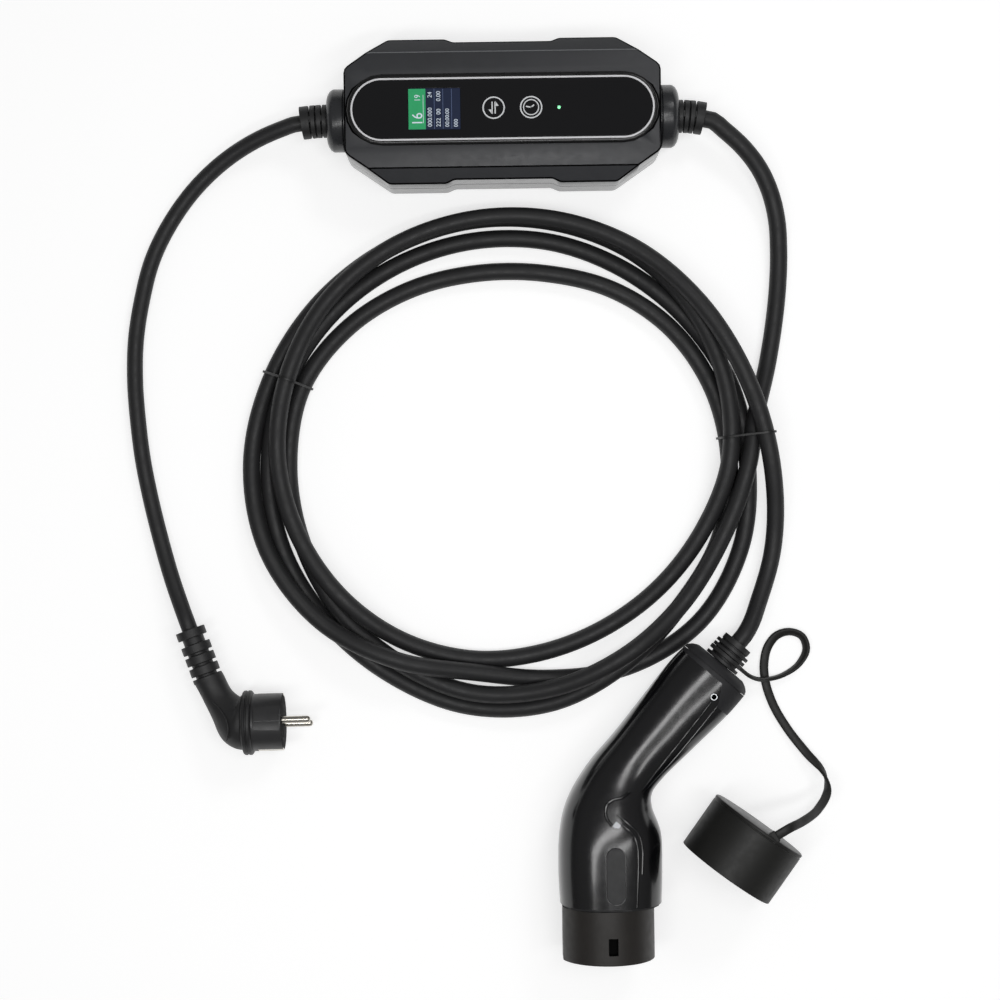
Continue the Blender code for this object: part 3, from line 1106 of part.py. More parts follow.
CAP_FRAME = facing((*CAP_PLACE, CAP_DIAMETER / 2 + CLEARANCE), CAP_HEADING)
LUG_HEIGHT = ((CAP_DIAMETER / 2) ** 2 - LUG_SIDE ** 2) ** 0.5 - LUG_SINK
LUG_FRAME = CAP_FRAME @ facing((-LUG_REACH, LUG_SIDE, LUG_HEIGHT), LUG_TURN)


def dust_cap():
    """A soft cup for the nose, open at its front, with the lug that the strap is moulded to."""
    radius = CAP_DIAMETER / 2
    inner = radius - CAP_WALL
    cap = turned("dust_cap", [
        (CAP_LENGTH, inner), (CAP_LENGTH, radius), (CAP_ROUND, radius), (0.0, radius - CAP_ROUND),
        (0.0, 0.0), (CAP_BASE, 0.0), (CAP_BASE, inner), (CAP_LENGTH, inner)],
        RUBBER_BLACK, CAP_FRAME, 36)
    join(cap, block("strap_lug", (0.0, -LUG_WIDTH / 2, -LUG_THICKNESS / 2),
                    (LUG_LENGTH, LUG_WIDTH / 2, LUG_THICKNESS / 2), RUBBER_BLACK, LUG_FRAME))


def coil_points():
    """The coil, a point every step of angle, clockwise from the +X side."""
    points = []
    for turn, spots in enumerate(COIL_TURNS):
        for step, (radius, layer) in enumerate(spots):
            angle = radians(COIL_TILT - COIL_STEP * (step + turn * 360 / COIL_STEP))
            points.append((COIL_CENTRE[0] + radius * cos(angle), COIL_CENTRE[1] + radius * sin(angle),
                           COIL_REST + COIL_LAYER * layer))
    return points


def strands_at(angle, route):
    """Where the route crosses a half plane out from the coil's centre: (radius, height)."""
    out = Vector((cos(radians(angle)), sin(radians(angle))))
    spots = []
    for near, far in zip(route, route[1:]):
        a = Vector(near[:2]) - Vector(COIL_CENTRE)
        b = Vector(far[:2]) - Vector(COIL_CENTRE)
        side_a, side_b = out.x * a.y - out.y * a.x, out.x * b.y - out.y * b.x
        if side_a * side_b <= 0.0 and side_a != side_b and out.dot(a) > 0.0 and a.length < COIL_REACH:
            t = side_a / (side_a - side_b)
            spots.append((a.lerp(b, t).dot(out), near[2] + (far[2] - near[2]) * t))
    return spots


def hull(spots):
    """Convex outline round points, counterclockwise."""
    spots = sorted(set(spots))
    chains = []
    for order in (spots, spots[::-1]):
        chain = []
        for spot in order:
            while len(chain) > 1 and ((chain[-1][0] - chain[-2][0]) * (spot[1] - chain[-2][1])
                                      - (chain[-1][1] - chain[-2][1]) * (spot[0] - chain[-2][0])) <= 0:
                chain.pop()
            chain.append(spot)
        chains.append(chain[:-1])
    return chains[0] + chains[1]


def cable_tie(name, angle, route):
    """A thin band drawn round every strand that passes at an angle."""
    loops = []
    for extra in (TIE_THICKNESS, 0.0):
        radius = OUTPUT_CABLE_DIAMETER / 2 + 2 * CLEARANCE + extra
        rim = [(radius * cos(2 * pi * i / TIE_SIDES), radius * sin(2 * pi * i / TIE_SIDES))
               for i in range(TIE_SIDES)]
        spots = [(r + a, z + b) for r, z in strands_at(angle, route) for a, b in rim]
        loops.append(hull(spots))
    c, s = cos(radians(angle)), sin(radians(angle))
    frame = Matrix(((c, 0, s, COIL_CENTRE[0]), (s, 0, -c, COIL_CENTRE[1]), (0, 1, 0, 0), (0, 0, 0, 1)))
    prism(name, loops, -TIE_WIDTH / 2, TIE_WIDTH / 2, RUBBER_BLACK, frame)


def cords(relief_length):
    """Both leads, the ties on the coil, and the cap's strap."""
    start = [tuple(relief_end(-1, INPUT_RELIEF_BEND) @ Vector((gap, 0.0, 0.0)))
             for gap in (CLEARANCE, INPUT_CABLE_DIAMETER / 2)]
    end = [along(PLUG_RELIEF_END, PLUG_RELIEF_HEADING, -gap)
           for gap in (INPUT_CABLE_DIAMETER / 2, CLEARANCE)]
    tube("input_cable", start + INPUT_ROUTE + end, INPUT_CABLE_DIAMETER, JACKET_BLACK)
    start = [tuple(relief_end(1, OUTPUT_RELIEF_BEND) @ Vector((gap, 0.0, 0.0)))
             for gap in (CLEARANCE, OUTPUT_CABLE_DIAMETER / 2)]
    end = [tuple(REAR_FRAME @ Vector((relief_length + gap, 0.0, 0.0)))
           for gap in (OUTPUT_CABLE_DIAMETER / 2, CLEARANCE)]
    route = start + OUTPUT_LEAD_IN + coil_points() + OUTPUT_LEAD_OUT + end
    tube("output_cable", route, OUTPUT_CABLE_DIAMETER, JACKET_BLACK)
    cable_tie("left_cable_tie", LEFT_TIE_ANGLE, route)
    cable_tie("right_cable_tie", RIGHT_TIE_ANGLE, route)
    reach = CONNECTOR_RELIEF_CORE / 2 + STRAP_RING_WALL + 2 * CLEARANCE
    ring_place = REAR_CAP_LENGTH + 2 * CLEARANCE + CONNECTOR_FIRST_RIB + STRAP_RING_WIDTH / 2
    first = [tuple(REAR_FRAME @ Vector((ring_place, -reach - gap, 0.0)))
             for gap in (0.0, STRAP_DIAMETER)]
    last = [tuple(LUG_FRAME @ Vector((-gap, 0.0, 0.0))) for gap in (LUG_WIDTH, CLEARANCE)]
    tube("cap_strap", first + STRAP_ROUTE + last, STRAP_DIAMETER, RUBBER_BLACK)


lower_shell()
upper_shell()
shell_gasket("back_gasket", 1)
shell_gasket("front_gasket", -1)
display()
electronics()
box_screws()
box_ends()
plug_body()
plug_face()
plug_metal()
grip()
nose()
RELIEF_REACH = rear_end()
dust_cap()
cords(RELIEF_REACH)
bpy.context.view_layer.update()
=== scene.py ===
"""Portable charging cable for an electric car, laid out on a white table and seen from above.

The sections follow the object as it is put together: the control box and what it holds, its glands
and reliefs, the mains lead with its plug, the charging lead in its coil, the connector, and the dust
cap on its strap. Metres, +Z up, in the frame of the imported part.
"""
import json
from math import cos, pi, radians, sin

import bmesh
import bpy
from mathutils import Matrix, Vector

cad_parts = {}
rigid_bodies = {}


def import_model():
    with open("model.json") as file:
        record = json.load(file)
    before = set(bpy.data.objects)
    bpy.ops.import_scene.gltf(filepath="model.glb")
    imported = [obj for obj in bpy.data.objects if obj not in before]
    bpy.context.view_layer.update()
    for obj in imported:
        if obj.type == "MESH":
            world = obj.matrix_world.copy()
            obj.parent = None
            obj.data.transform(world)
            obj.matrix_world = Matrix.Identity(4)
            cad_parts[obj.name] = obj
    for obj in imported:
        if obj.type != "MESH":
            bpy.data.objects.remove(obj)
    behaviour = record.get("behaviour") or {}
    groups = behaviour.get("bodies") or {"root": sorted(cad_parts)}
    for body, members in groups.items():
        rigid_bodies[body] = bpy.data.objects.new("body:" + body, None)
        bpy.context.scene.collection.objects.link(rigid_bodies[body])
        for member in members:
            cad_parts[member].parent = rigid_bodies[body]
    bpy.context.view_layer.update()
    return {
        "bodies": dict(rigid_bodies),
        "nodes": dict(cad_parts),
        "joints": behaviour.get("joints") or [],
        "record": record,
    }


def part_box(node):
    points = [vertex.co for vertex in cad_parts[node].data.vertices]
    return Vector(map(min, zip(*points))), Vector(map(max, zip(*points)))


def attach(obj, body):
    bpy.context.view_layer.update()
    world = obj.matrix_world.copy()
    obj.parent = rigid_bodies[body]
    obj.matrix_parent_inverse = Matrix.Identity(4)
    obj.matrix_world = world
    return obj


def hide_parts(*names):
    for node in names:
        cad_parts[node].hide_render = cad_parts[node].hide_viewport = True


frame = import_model()
nodes = frame["nodes"]


# Studio
# A white table in a dim room. Two long softboxes over the front half draw the double highlight
# along the grip, and a square one behind lights the box. The dark ceiling keeps the panel black.
def linear(code):
    """A colour written as sRGB hex, as the linear values that a shader takes."""
    parts = [int(code[i:i + 2], 16) / 255 for i in (1, 3, 5)]
    return tuple(c / 12.92 if c <= 0.04045 else ((c + 0.055) / 1.055) ** 2.4 for c in parts) + (1.0,)


def add_node(tree, kind, inputs, **settings):
    """Adds a shader node; each input is a value or another node's output, by socket name or number."""
    made = tree.nodes.new("ShaderNode" + kind)
    for name, value in settings.items():
        setattr(made, name, value)
    for socket, value in inputs.items():
        if isinstance(value, bpy.types.NodeSocket):
            tree.links.new(value, made.inputs[socket])
        else:
            made.inputs[socket].default_value = value
    return made


def softbox(name, x, y, height, length, width, heading, radiance):
    """A rectangular lamp that hangs level over the table, its long side along a heading."""
    lamp = bpy.data.lights.new(name, "AREA")
    lamp.shape = "RECTANGLE"
    lamp.size, lamp.size_y = length, width
    lamp.energy = pi * radiance * length * width
    made = bpy.data.objects.new(name, lamp)
    made.location = (x, y, height)
    made.rotation_euler = (0.0, 0.0, radians(heading))
    bpy.context.scene.collection.objects.link(made)


bpy.context.scene.view_settings.view_transform = "Standard"
room = bpy.data.worlds.new("studio_room")
bpy.context.scene.world = room
room.use_nodes = True
tree = room.node_tree
facing_out = add_node(tree, "TexCoord", {}).outputs["Generated"]
rise = add_node(tree, "SeparateXYZ", {"Vector": facing_out}).outputs["Z"]
glow = add_node(tree, "MapRange", {"Value": rise, "From Min": 0.0, "From Max": 0.6, "To Min": 0.12,
                                   "To Max": 0.22}, interpolation_type="SMOOTHSTEP").outputs["Result"]
tree.links.new(glow, tree.nodes["Background"].inputs["Strength"])
tree.nodes["Background"].inputs["Color"].default_value = linear("#ffffff")
softbox("left_softbox", -0.10, -0.38, 1.60, 1.45, 0.22, 32.8, 8.2)
softbox("right_softbox", 0.50, -0.58, 1.60, 0.95, 0.16, 14.7, 8.0)
softbox("back_softbox", 0.90, 1.10, 1.60, 0.60, 0.60, 0.0, 6.0)

paper = bpy.data.materials.new("white_paper")
paper.use_nodes = True
tree = paper.node_tree
tree.nodes.remove(tree.nodes["Principled BSDF"])
rays = add_node(tree, "LightPath", {})
lit = add_node(tree, "BsdfDiffuse", {"Color": linear("#cacaca")})
shining = add_node(tree, "Math", {0: rays.outputs["Is Camera Ray"], 1: rays.outputs["Is Glossy Ray"]},
                   operation="MAXIMUM")
through = add_node(tree, "Math", {0: shining.outputs[0], 1: rays.outputs["Is Transmission Ray"]},
                   operation="MAXIMUM")
share = add_node(tree, "Math", {0: through.outputs[0], 1: 0.62}, operation="MULTIPLY")
extra = add_node(tree, "Emission", {"Color": linear("#ffffff"), "Strength": share.outputs[0]})
both = add_node(tree, "AddShader", {0: lit.outputs[0], 1: extra.outputs[0]})
tree.links.new(both.outputs[0], tree.nodes["Material Output"].inputs["Surface"])
bm = bmesh.new()
bmesh.ops.create_grid(bm, x_segments=1, y_segments=1, size=6.0)
table = bpy.data.objects.new("table", bpy.data.meshes.new("table"))
bm.to_mesh(table.data)
bm.free()
table.data.materials.append(paper)
bpy.context.scene.collection.objects.link(table)

lens = bpy.data.cameras.new("camera")
lens.sensor_width = 36.0
lens.lens = 72.58
camera = bpy.data.objects.new("camera", lens)
camera.location = (-0.0054, -0.2624, 1.4)
camera.rotation_euler = (0.0, 0.0, radians(-0.8))
bpy.context.scene.collection.objects.link(camera)
bpy.context.scene.camera = camera


# Housing of the control box
# Tray and cover are moulded in black ABS with a fine spark texture, parted by a thin seal and held
# by six screws from below. The cover's long sides slope down, and its rim stands round the panel.
def moulded(name, colour, drift, roughness, grain, height, spread=0.05, **sockets):
    """A moulded surface: its tone drifts over centimetres, and a grain of this size in mm stands up."""
    made = bpy.data.materials.new(name)
    made.use_nodes = True
    tree = made.node_tree
    shader = tree.nodes["Principled BSDF"]
    place = add_node(tree, "TexCoord", {}).outputs["Object"]
    clouds = add_node(tree, "TexNoise", {"Vector": place, "Scale": 1000 / CLOUD_SIZE, "Detail": 3.0})
    tone = add_node(tree, "Mix", {0: clouds.outputs[0], 6: linear(colour), 7: linear(drift)},
                    data_type="RGBA")
    smear = add_node(tree, "TexNoise", {"Vector": place, "Scale": 1000 / SMEAR_SIZE, "Detail": 4.0})
    gloss = add_node(tree, "MapRange", {"Value": smear.outputs[0], "From Min": 0.3, "From Max": 0.7,
                                        "To Min": roughness - spread, "To Max": roughness + spread})
    fine = add_node(tree, "TexNoise", {"Vector": place, "Scale": 1000 / grain, "Detail": 2.0})
    bump = add_node(tree, "Bump", {"Height": fine.outputs[0], "Distance": height / 1000, "Strength": 1.0})
    tree.links.new(tone.outputs[2], shader.inputs["Base Color"])
    tree.links.new(gloss.outputs[0], shader.inputs["Roughness"])
    tree.links.new(bump.outputs[0], shader.inputs["Normal"])
    for socket, value in sockets.items():
        shader.inputs[socket.replace("_", " ")].default_value = value
    return made


def finished(name, bm, finish, replaces=(), smooth=32.0, edge=0.0, segments=2):
    """Makes a piece's object, rounds its edges, finishes it, hangs it on the root body and hides the CAD
    pieces it replaces.
    """
    bmesh.ops.remove_doubles(bm, verts=bm.verts, dist=MERGE)
    bmesh.ops.recalc_face_normals(bm, faces=bm.faces)
    mesh = bpy.data.meshes.new(name)
    bm.to_mesh(mesh)
    bm.free()
    mesh.shade_smooth()
    mesh.set_sharp_from_angle(angle=radians(smooth))
    mesh.materials.append(finish)
    made = bpy.data.objects.new(name, mesh)
    bpy.context.scene.collection.objects.link(made)
    if edge > 0.0:
        rounding = made.modifiers.new("rounding", "BEVEL")
        rounding.width = edge
        rounding.segments = segments
        rounding.limit_method = "ANGLE"
        rounding.angle_limit = radians(smooth)
        rounding.harden_normals = True
    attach(made, "root")
    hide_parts(*replaces)
    return made


def joined_copy(node):
    """A CAD piece's mesh with its loose triangles joined into whole faces."""
    bm = bmesh.new()
    bm.from_mesh(nodes[node].data)
    bmesh.ops.remove_doubles(bm, verts=bm.verts, dist=0.00001)
    bmesh.ops.dissolve_limit(bm, angle_limit=radians(0.6), verts=bm.verts, edges=bm.edges)
    return bm


# A moulding's drift of tone and smear of gloss, in mm
CLOUD_SIZE, SMEAR_SIZE = 14.0, 5.0
# Points of a piece that lie nearer than this are one
MERGE = 0.000005
# Spark-textured ABS: satin, a little grey where light skims it.
textured_abs = moulded("spark_textured_abs", "#333437", "#38393c", 0.44, 0.55, 0.010)
# Polished ABS of the collars: darker and smoother than the housing.
smooth_abs = moulded("satin_abs", "#2a2b2d", "#303134", 0.28, 0.8, 0.008)
# The rim: smoother ABS painted near black, a painted shade for the dark band its far slope shows.
painted_shade_rim_abs = moulded("polished_rim_painted_shade", "#0b0b0c", "#0e0e0f", 0.30, 0.8, 0.004)
# The upright walls come smooth from the mould. The near step and the shoulder's outer edges are painted near
# black, a painted shade, and the far step edge is painted pale, a painted highlight.
wall_abs = moulded("smooth_wall_abs", "#3a3b3e", "#404144", 0.18, 9.0, 0.004, 0.03)
painted_shade_edge_abs = moulded("painted_shade_edge_finish", "#050506", "#070708", 0.70, 0.6, 0.010, Specular_IOR_Level=0.05)
painted_highlight_edge_abs = moulded("painted_highlight_edge_finish", "#6c6f72", "#626568", 0.40, 0.8, 0.008)
# Dull ABS of the grip's rear end.
dull_abs = moulded("dull_abs", "#242426", "#2a2a2c", 0.55, 0.8, 0.010, Specular_IOR_Level=0.3)


def parts_of(made, finishes, choose):
    """Gives a piece's faces further finishes: choose(centre, normal) returns a number, 0 for none."""
    for finish in finishes:
        made.data.materials.append(finish)
    for face in made.data.polygons:
        face.material_index = max(face.material_index, choose(face.center, face.normal))


tray = finished("housing_tray", joined_copy("lower_shell"), textured_abs, ["lower_shell"],
                edge=0.0003)
parts_of(tray, [wall_abs], lambda centre, normal: 1 if abs(normal.z) < 0.1 else 0)
bm = joined_copy("upper_shell")
bm.normal_update()
# Heights of the flat beside the rim, of the shoulder's foot and of the smooth walls' top
FLAT_Z, SHOULDER_Z, WALL_Z = 0.0485, 0.040, 0.0450
STEP_Y, STEP_WIDTH = 0.0392, 0.0010
RIM_ROUNDING, SHOULDER_ROUNDING = 0.0021, 0.0011
# A wall faces outwards if it looks away from this middle line; the shoulder lies outside the panel's place
RIM_LINE, INNER_X, INNER_Y = 0.08, 0.096, 0.030
# The cover's further finishes, by their number
RIM, PAINTED_HIGHLIGHT, WALL, PAINTED_SHADE = 1, 2, 3, 4
rim_top = max(v.co.z for v in bm.verts)
shoulder, rim_edges = [], []
for edge in bm.edges:
    middle = (edge.verts[0].co + edge.verts[1].co) / 2
    rises = sorted(f.normal.z for f in edge.link_faces)
    walls = [f for f in edge.link_faces if abs(f.normal.z) < 0.1]
    if len(rises) < 2 or not walls or rises[1] < 0.5:
        continue
    nearest = Vector((max(-RIM_LINE, min(RIM_LINE, middle.x)), 0.0))
    outward = walls[0].normal.xy.dot(middle.xy - nearest) > 0.0
    beyond = abs(middle.y) > INNER_Y or abs(middle.x) > INNER_X
    if outward and middle.z > rim_top - 0.0001:
        rim_edges.append(edge)
    elif outward and beyond and SHOULDER_Z < middle.z < FLAT_Z + 0.0001:
        shoulder.append(edge)
bmesh.ops.bevel(bm, geom=rim_edges, offset=RIM_ROUNDING, segments=5, affect="EDGES", profile=0.5,
                material=-1)
shoulder = [e for e in shoulder if e.is_valid]
# The shoulder's outer edges take the painted shade: a dark line along the cover's outline.
bmesh.ops.bevel(bm, geom=shoulder, offset=SHOULDER_ROUNDING, segments=3, affect="EDGES", profile=0.5,
                material=PAINTED_SHADE)
for side in (-1, 1):
    bmesh.ops.bisect_plane(bm, geom=bm.verts[:] + bm.edges[:] + bm.faces[:],
                           plane_co=(0.0, side * STEP_Y, 0.0), plane_no=(0.0, 1.0, 0.0))
cover = finished("housing_cover", bm, textured_abs, ["upper_shell"], edge=0.0003)


def cover_finish(centre, normal):
    """Picks the cover's finishes: rim and near step edge painted dark as painted shade, far step edge painted
    pale as a painted highlight, upright walls smooth.
    """
    # The rim's faces take the painted shade.
    if centre.z > FLAT_Z + 0.00005:
        return RIM
    # The near step edge takes the painted shade, the far one the painted highlight.
    if 0.3 < normal.z < 0.95 and STEP_Y - STEP_WIDTH < abs(centre.y) < STEP_Y:
        return PAINTED_SHADE if centre.y < 0.0 else PAINTED_HIGHLIGHT
    return WALL if abs(normal.z) < 0.1 and centre.z < WALL_Z else 0


parts_of(cover, [painted_shade_rim_abs, painted_highlight_edge_abs, wall_abs, painted_shade_edge_abs], cover_finish)
# Silicone cord seal: soft and dull.
silicone = moulded("black_silicone_seal", "#141415", "#19191a", 0.62, 0.40, 0.01)
# Zinc-plated steel of the screws: bright, with a fine turned scatter.
zinc = moulded("zinc_plated_steel", "#b9bbbd", "#a5a7a9", 0.30, 0.30, 0.006, Metallic=1.0)
screws = [f"shell_screw_{i}" for i in range(1, 7)] + [f"grip_screw_{i}" for i in range(1, 5)]


def dress(names, finish):
    """Gives CAD pieces that keep their shape a finish."""
    for name in names:
        nodes[name].data.materials.clear()
        nodes[name].data.materials.append(finish)


dress(["back_gasket", "front_gasket", "nose_seal"], silicone)
dress(screws, zinc)


# Display panel and its white ring
# A stadium of smoked acrylic, 2.2 mm thick and glued in its pocket, inside a thin white ring. The
# screen and the status light shine through it, and the two touch keys are printed on it.
def thickened(bm, height):
    """Draws flat faces up into a plate."""
    raised = bmesh.ops.extrude_face_region(bm, geom=bm.faces[:])["geom"]
    top = [part for part in raised if isinstance(part, bmesh.types.BMVert)]
    bmesh.ops.translate(bm, vec=(0.0, 0.0, height), verts=top)


def slab(length, width, corner, low, high, x=0.0, y=0.0, steps=24, wall=0.0):
    """A flat plate with rounded corners between two heights, or only a ring of this wall."""
    bm = bmesh.new()
    bmesh.ops.create_grid(bm, x_segments=1, y_segments=1, size=0.5)
    bmesh.ops.scale(bm, vec=(length, width, 1.0), verts=bm.verts)
    bmesh.ops.bevel(bm, geom=bm.verts[:], offset=corner * 0.9999, offset_type="OFFSET", segments=steps,
                    affect="VERTICES", profile=0.5, material=-1)
    if wall > 0.0:
        bmesh.ops.remove_doubles(bm, verts=bm.verts, dist=MERGE)
        middle = bm.faces[:]
        bmesh.ops.inset_region(bm, faces=middle, thickness=wall, use_boundary=True, use_even_offset=True)
        bmesh.ops.delete(bm, geom=middle, context="FACES")
    thickened(bm, high - low)
    bmesh.ops.translate(bm, vec=(x, y, low), verts=bm.verts)
    return bm


panel_low, panel_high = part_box("display_panel")
ring_low, ring_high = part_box("panel_trim_ring")
panel_size, ring_size = panel_high - panel_low, ring_high - ring_low
# Smoked acrylic: deep black and glassy, with the faintest waviness.
smoked_acrylic = moulded("smoked_acrylic", "#0b0b0e", "#0e0e11", 0.07, 9.0, 0.003, 0.015)
bm = slab(panel_size.x, panel_size.y, panel_size.y / 2, panel_low.z, panel_high.z)
panel = finished("acrylic_panel", bm, smoked_acrylic, ["display_panel"], edge=0.0002)
# White lacquered ring: even and slightly glossy.
white_lacquer = moulded("white_lacquer", "#f1f1f3", "#eaeaed", 0.30, 0.40, 0.004)
RING_WALL = 0.0012
bm = slab(ring_size.x, ring_size.y, ring_size.y / 2, ring_low.z, ring_high.z, steps=32, wall=RING_WALL)
finished("white_ring", bm, white_lacquer, ["panel_trim_ring"], edge=0.0001)


# Screen
# A small colour display behind the panel, its long side across the box. A green bar at the left holds
# the set current, and four rows of readings on navy run up the rest, with thin lines between them.
def glowing(name, colour, strength):
    """A lit surface: its colour on a shader that also shines a little."""
    made = bpy.data.materials.new(name)
    made.use_nodes = True
    tree = made.node_tree
    shader = tree.nodes["Principled BSDF"]
    place = add_node(tree, "TexCoord", {}).outputs["Object"]
    dots = add_node(tree, "TexNoise", {"Vector": place, "Scale": 1000 / 2.0, "Detail": 2.0})
    dimmer = tuple(0.86 * c for c in linear(colour)[:3]) + (1.0,)
    tone = add_node(tree, "Mix", {0: dots.outputs[0], 6: linear(colour), 7: dimmer}, data_type="RGBA")
    tree.links.new(tone.outputs[2], shader.inputs["Base Color"])
    tree.links.new(tone.outputs[2], shader.inputs["Emission Color"])
    shader.inputs["Emission Strength"].default_value = strength
    shader.inputs["Roughness"].default_value = 0.25
    return made


def facing(place, heading, roll=0.0):
    """A frame at a place whose +X runs along a heading on the table."""
    turn = Matrix.Rotation(radians(heading), 4, "Z") @ Matrix.Rotation(radians(roll), 4, "X")
    return Matrix.Translation(place) @ turn


def placed(bm, frame):
    """Moves a shape into a frame."""
    bmesh.ops.transform(bm, matrix=frame, verts=bm.verts)
    return bm


def lit_digits(name, words, height, x, y, z, stretch=1.0):
    """Plain digits as thin flat letters round a place, read up the box's width."""
    font = bpy.data.curves.new(name, "FONT")
    font.body = words
    font.size = height
    font.align_x = "CENTER"
    font.align_y = "CENTER"
    font.extrude = PRINT_THICKNESS / 2
    drawn = bpy.data.objects.new(name, font)
    bpy.context.scene.collection.objects.link(drawn)
    bpy.context.view_layer.update()
    flat = bpy.data.meshes.new_from_object(drawn.evaluated_get(bpy.context.evaluated_depsgraph_get()))
    bpy.data.objects.remove(drawn)
    bm = bmesh.new()
    bm.from_mesh(flat)
    bmesh.ops.scale(bm, vec=(stretch, 1.0, 1.0), verts=bm.verts)
    finished(name, placed(bm, facing((x, y, z + PRINT_THICKNESS / 2), 90.0)), screen_white)


def lit_field(name, length, width, corner, height, low, x, finish, replaces=()):
    """An even field of the screen, centred across the box."""
    finished(name, slab(length, width, corner, low, low + height, x, middle_y, 2), finish, replaces)


PRINT_THICKNESS, FIELD_THICKNESS = 0.00006, 0.00004
screen_low, screen_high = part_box("lcd_screen")
glass = screen_high.z
left = screen_low.x
middle_y = (screen_low.y + screen_high.y) / 2
GREEN_WIDTH = 0.0115
navy_width = screen_high.x - left - GREEN_WIDTH
# Each lit colour glows a little and drifts slightly in tone.
screen_navy = glowing("lit_screen_navy", "#16213c", 0.25)
screen_green = glowing("lit_screen_green", "#2fa066", 0.30)
screen_white = glowing("lit_screen_white", "#cfdae6", 0.35)
screen_line = glowing("lit_screen_line", "#5f6f93", 0.35)
screen_length, screen_width = screen_high.x - left, screen_high.y - screen_low.y
screen_x = (left + screen_high.x) / 2
lit_field("screen_glass", screen_length, screen_width, 0.0003, glass - screen_low.z, screen_low.z,
          screen_x, screen_navy, ["lcd_screen"])
lit_field("screen_green_bar", GREEN_WIDTH, screen_width - 0.0004, 0.0002, FIELD_THICKNESS, glass,
          left + GREEN_WIDTH / 2, screen_green)
level = glass + FIELD_THICKNESS
current_x = left + 0.0062
lit_digits("set_current", "16", 0.0100, current_x, middle_y - 0.0068, level, 0.9)
lit_digits("set_phase", "19", 0.0056, current_x, middle_y + 0.0073, level, 0.85)
lit_field("screen_green_line", 0.0003, 0.0190, 0.0001, PRINT_THICKNESS, level,
          left + GREEN_WIDTH - 0.0016, screen_white)
readings = [("energy_reading", "000.000", -0.0055, 0.0040, "24", 0.0095),
            ("power_reading", "222  00", -0.0060, 0.0040, "0.00", 0.0085),
            ("time_reading", "00:00:00", -0.0060, 0.0036, "", 0.0),
            ("state_reading", "000", -0.0096, 0.0036, "", 0.0)]
for i, (name, words, along_y, size, more, more_y) in enumerate(readings):
    row_x = left + GREEN_WIDTH + navy_width * (i + 0.5) / 4
    lit_digits(name, words, size, row_x, middle_y + along_y, glass)
    if more:
        lit_digits(name + "_end", more, size, row_x, middle_y + more_y, glass)
    if i:
        lit_field(f"screen_line_{i}", 0.00022, screen_width - 0.0008, 0.0001, PRINT_THICKNESS, glass,
                  left + GREEN_WIDTH + navy_width * i / 4, screen_line)


# Touch keys and status light
# The keys are rings and signs printed in white on the panel: two opposite arrows for the current, a
# clock face for the delay. The status light is a small green lens that ends level with the panel.
def turned(profile, frame=Matrix.Identity(4), steps=96):
    """A shape spun about the frame's +X from (place, radius) points."""
    bm = bmesh.new()
    verts = [bm.verts.new((place, 0.0, radius)) for place, radius in profile]
    edges = [bm.edges.new(pair) for pair in zip(verts, verts[1:])]
    bmesh.ops.spin(bm, geom=verts + edges, cent=(0, 0, 0), axis=(1, 0, 0), angle=2 * pi, steps=steps,
                   use_merge=True, use_duplicate=False)
    bmesh.ops.remove_doubles(bm, verts=bm.verts, dist=MERGE)
    bmesh.ops.dissolve_degenerate(bm, edges=bm.edges, dist=0.000001)
    return placed(bm, frame)


def rod(start, end, radius, frame=Matrix.Identity(4), steps=96):
    """A round rod along the frame's +X."""
    return turned([(end, 0.0), (end, radius), (start, radius), (start, 0.0)], frame, steps)


def tube(start, end, inner, outer, frame=Matrix.Identity(4), steps=72):
    """A ring or tube along the frame's +X."""
    return turned([(end, inner), (end, outer), (start, outer), (start, inner), (end, inner)], frame, steps)


def cut_from(made, cutters):
    """Takes closed shapes out of a finished piece for good."""
    for cutter in cutters:
        mesh = bpy.data.meshes.new("cutter")
        bmesh.ops.recalc_face_normals(cutter, faces=cutter.faces)
        cutter.to_mesh(mesh)
        cutter.free()
        tool = bpy.data.objects.new("cutter", mesh)
        bpy.context.scene.collection.objects.link(tool)
        change = made.modifiers.new("cut", "BOOLEAN")
        change.operation = "DIFFERENCE"
        change.solver = "EXACT"
        change.object = tool
        made.modifiers.move(len(made.modifiers) - 1, 0)
        bpy.context.view_layer.update()
        with bpy.context.temp_override(object=made, active_object=made, selected_objects=[made]):
            bpy.ops.object.modifier_apply(modifier="cut")
        bpy.data.objects.remove(tool)
        bpy.data.meshes.remove(mesh)
    made.data.set_sharp_from_angle(angle=radians(32.0))
    return made


# Turns a shape that lies along +X upright
UP = Matrix.Rotation(-pi / 2, 4, "Y")
led_low, led_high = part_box("status_led")
LENS_RADIUS = 0.0010
led_frame = Matrix.Translation(((led_low.x + led_high.x) / 2, (led_low.y + led_high.y) / 2, 0.0)) @ UP
cut_from(panel, [slab(screen_length + 0.0004, screen_width + 0.0004, 0.0004, panel_low.z - 0.001,
                      panel_high.z + 0.001, screen_x, middle_y, 3),
                 rod(panel_low.z - 0.001, panel_high.z + 0.001, LENS_RADIUS + 0.0001, led_frame, 32)])
face_z = panel_high.z
# Screen-printed white ink: matt and dense.
white_ink = moulded("white_screen_ink", "#eef0f2", "#e4e6e9", 0.5, 0.3, 0.003)


def printed_ring(name, x, y, inner, outer):
    """A printed circle line."""
    bm = tube(0.0, PRINT_THICKNESS, inner, outer, Matrix.Translation((x, y, face_z)) @ UP)
    finished(name, bm, white_ink)


def printed_sign(name, outline, x, y):
    """A printed sign from its outline round a place."""
    bm = bmesh.new()
    bm.faces.new([bm.verts.new((x + across, y + up, face_z)) for across, up in outline])
    thickened(bm, PRINT_THICKNESS)
    finished(name, bm, white_ink)


KEY_Y = 0.0002
CURRENT_KEY_X, DELAY_KEY_X = -0.0060, 0.0191
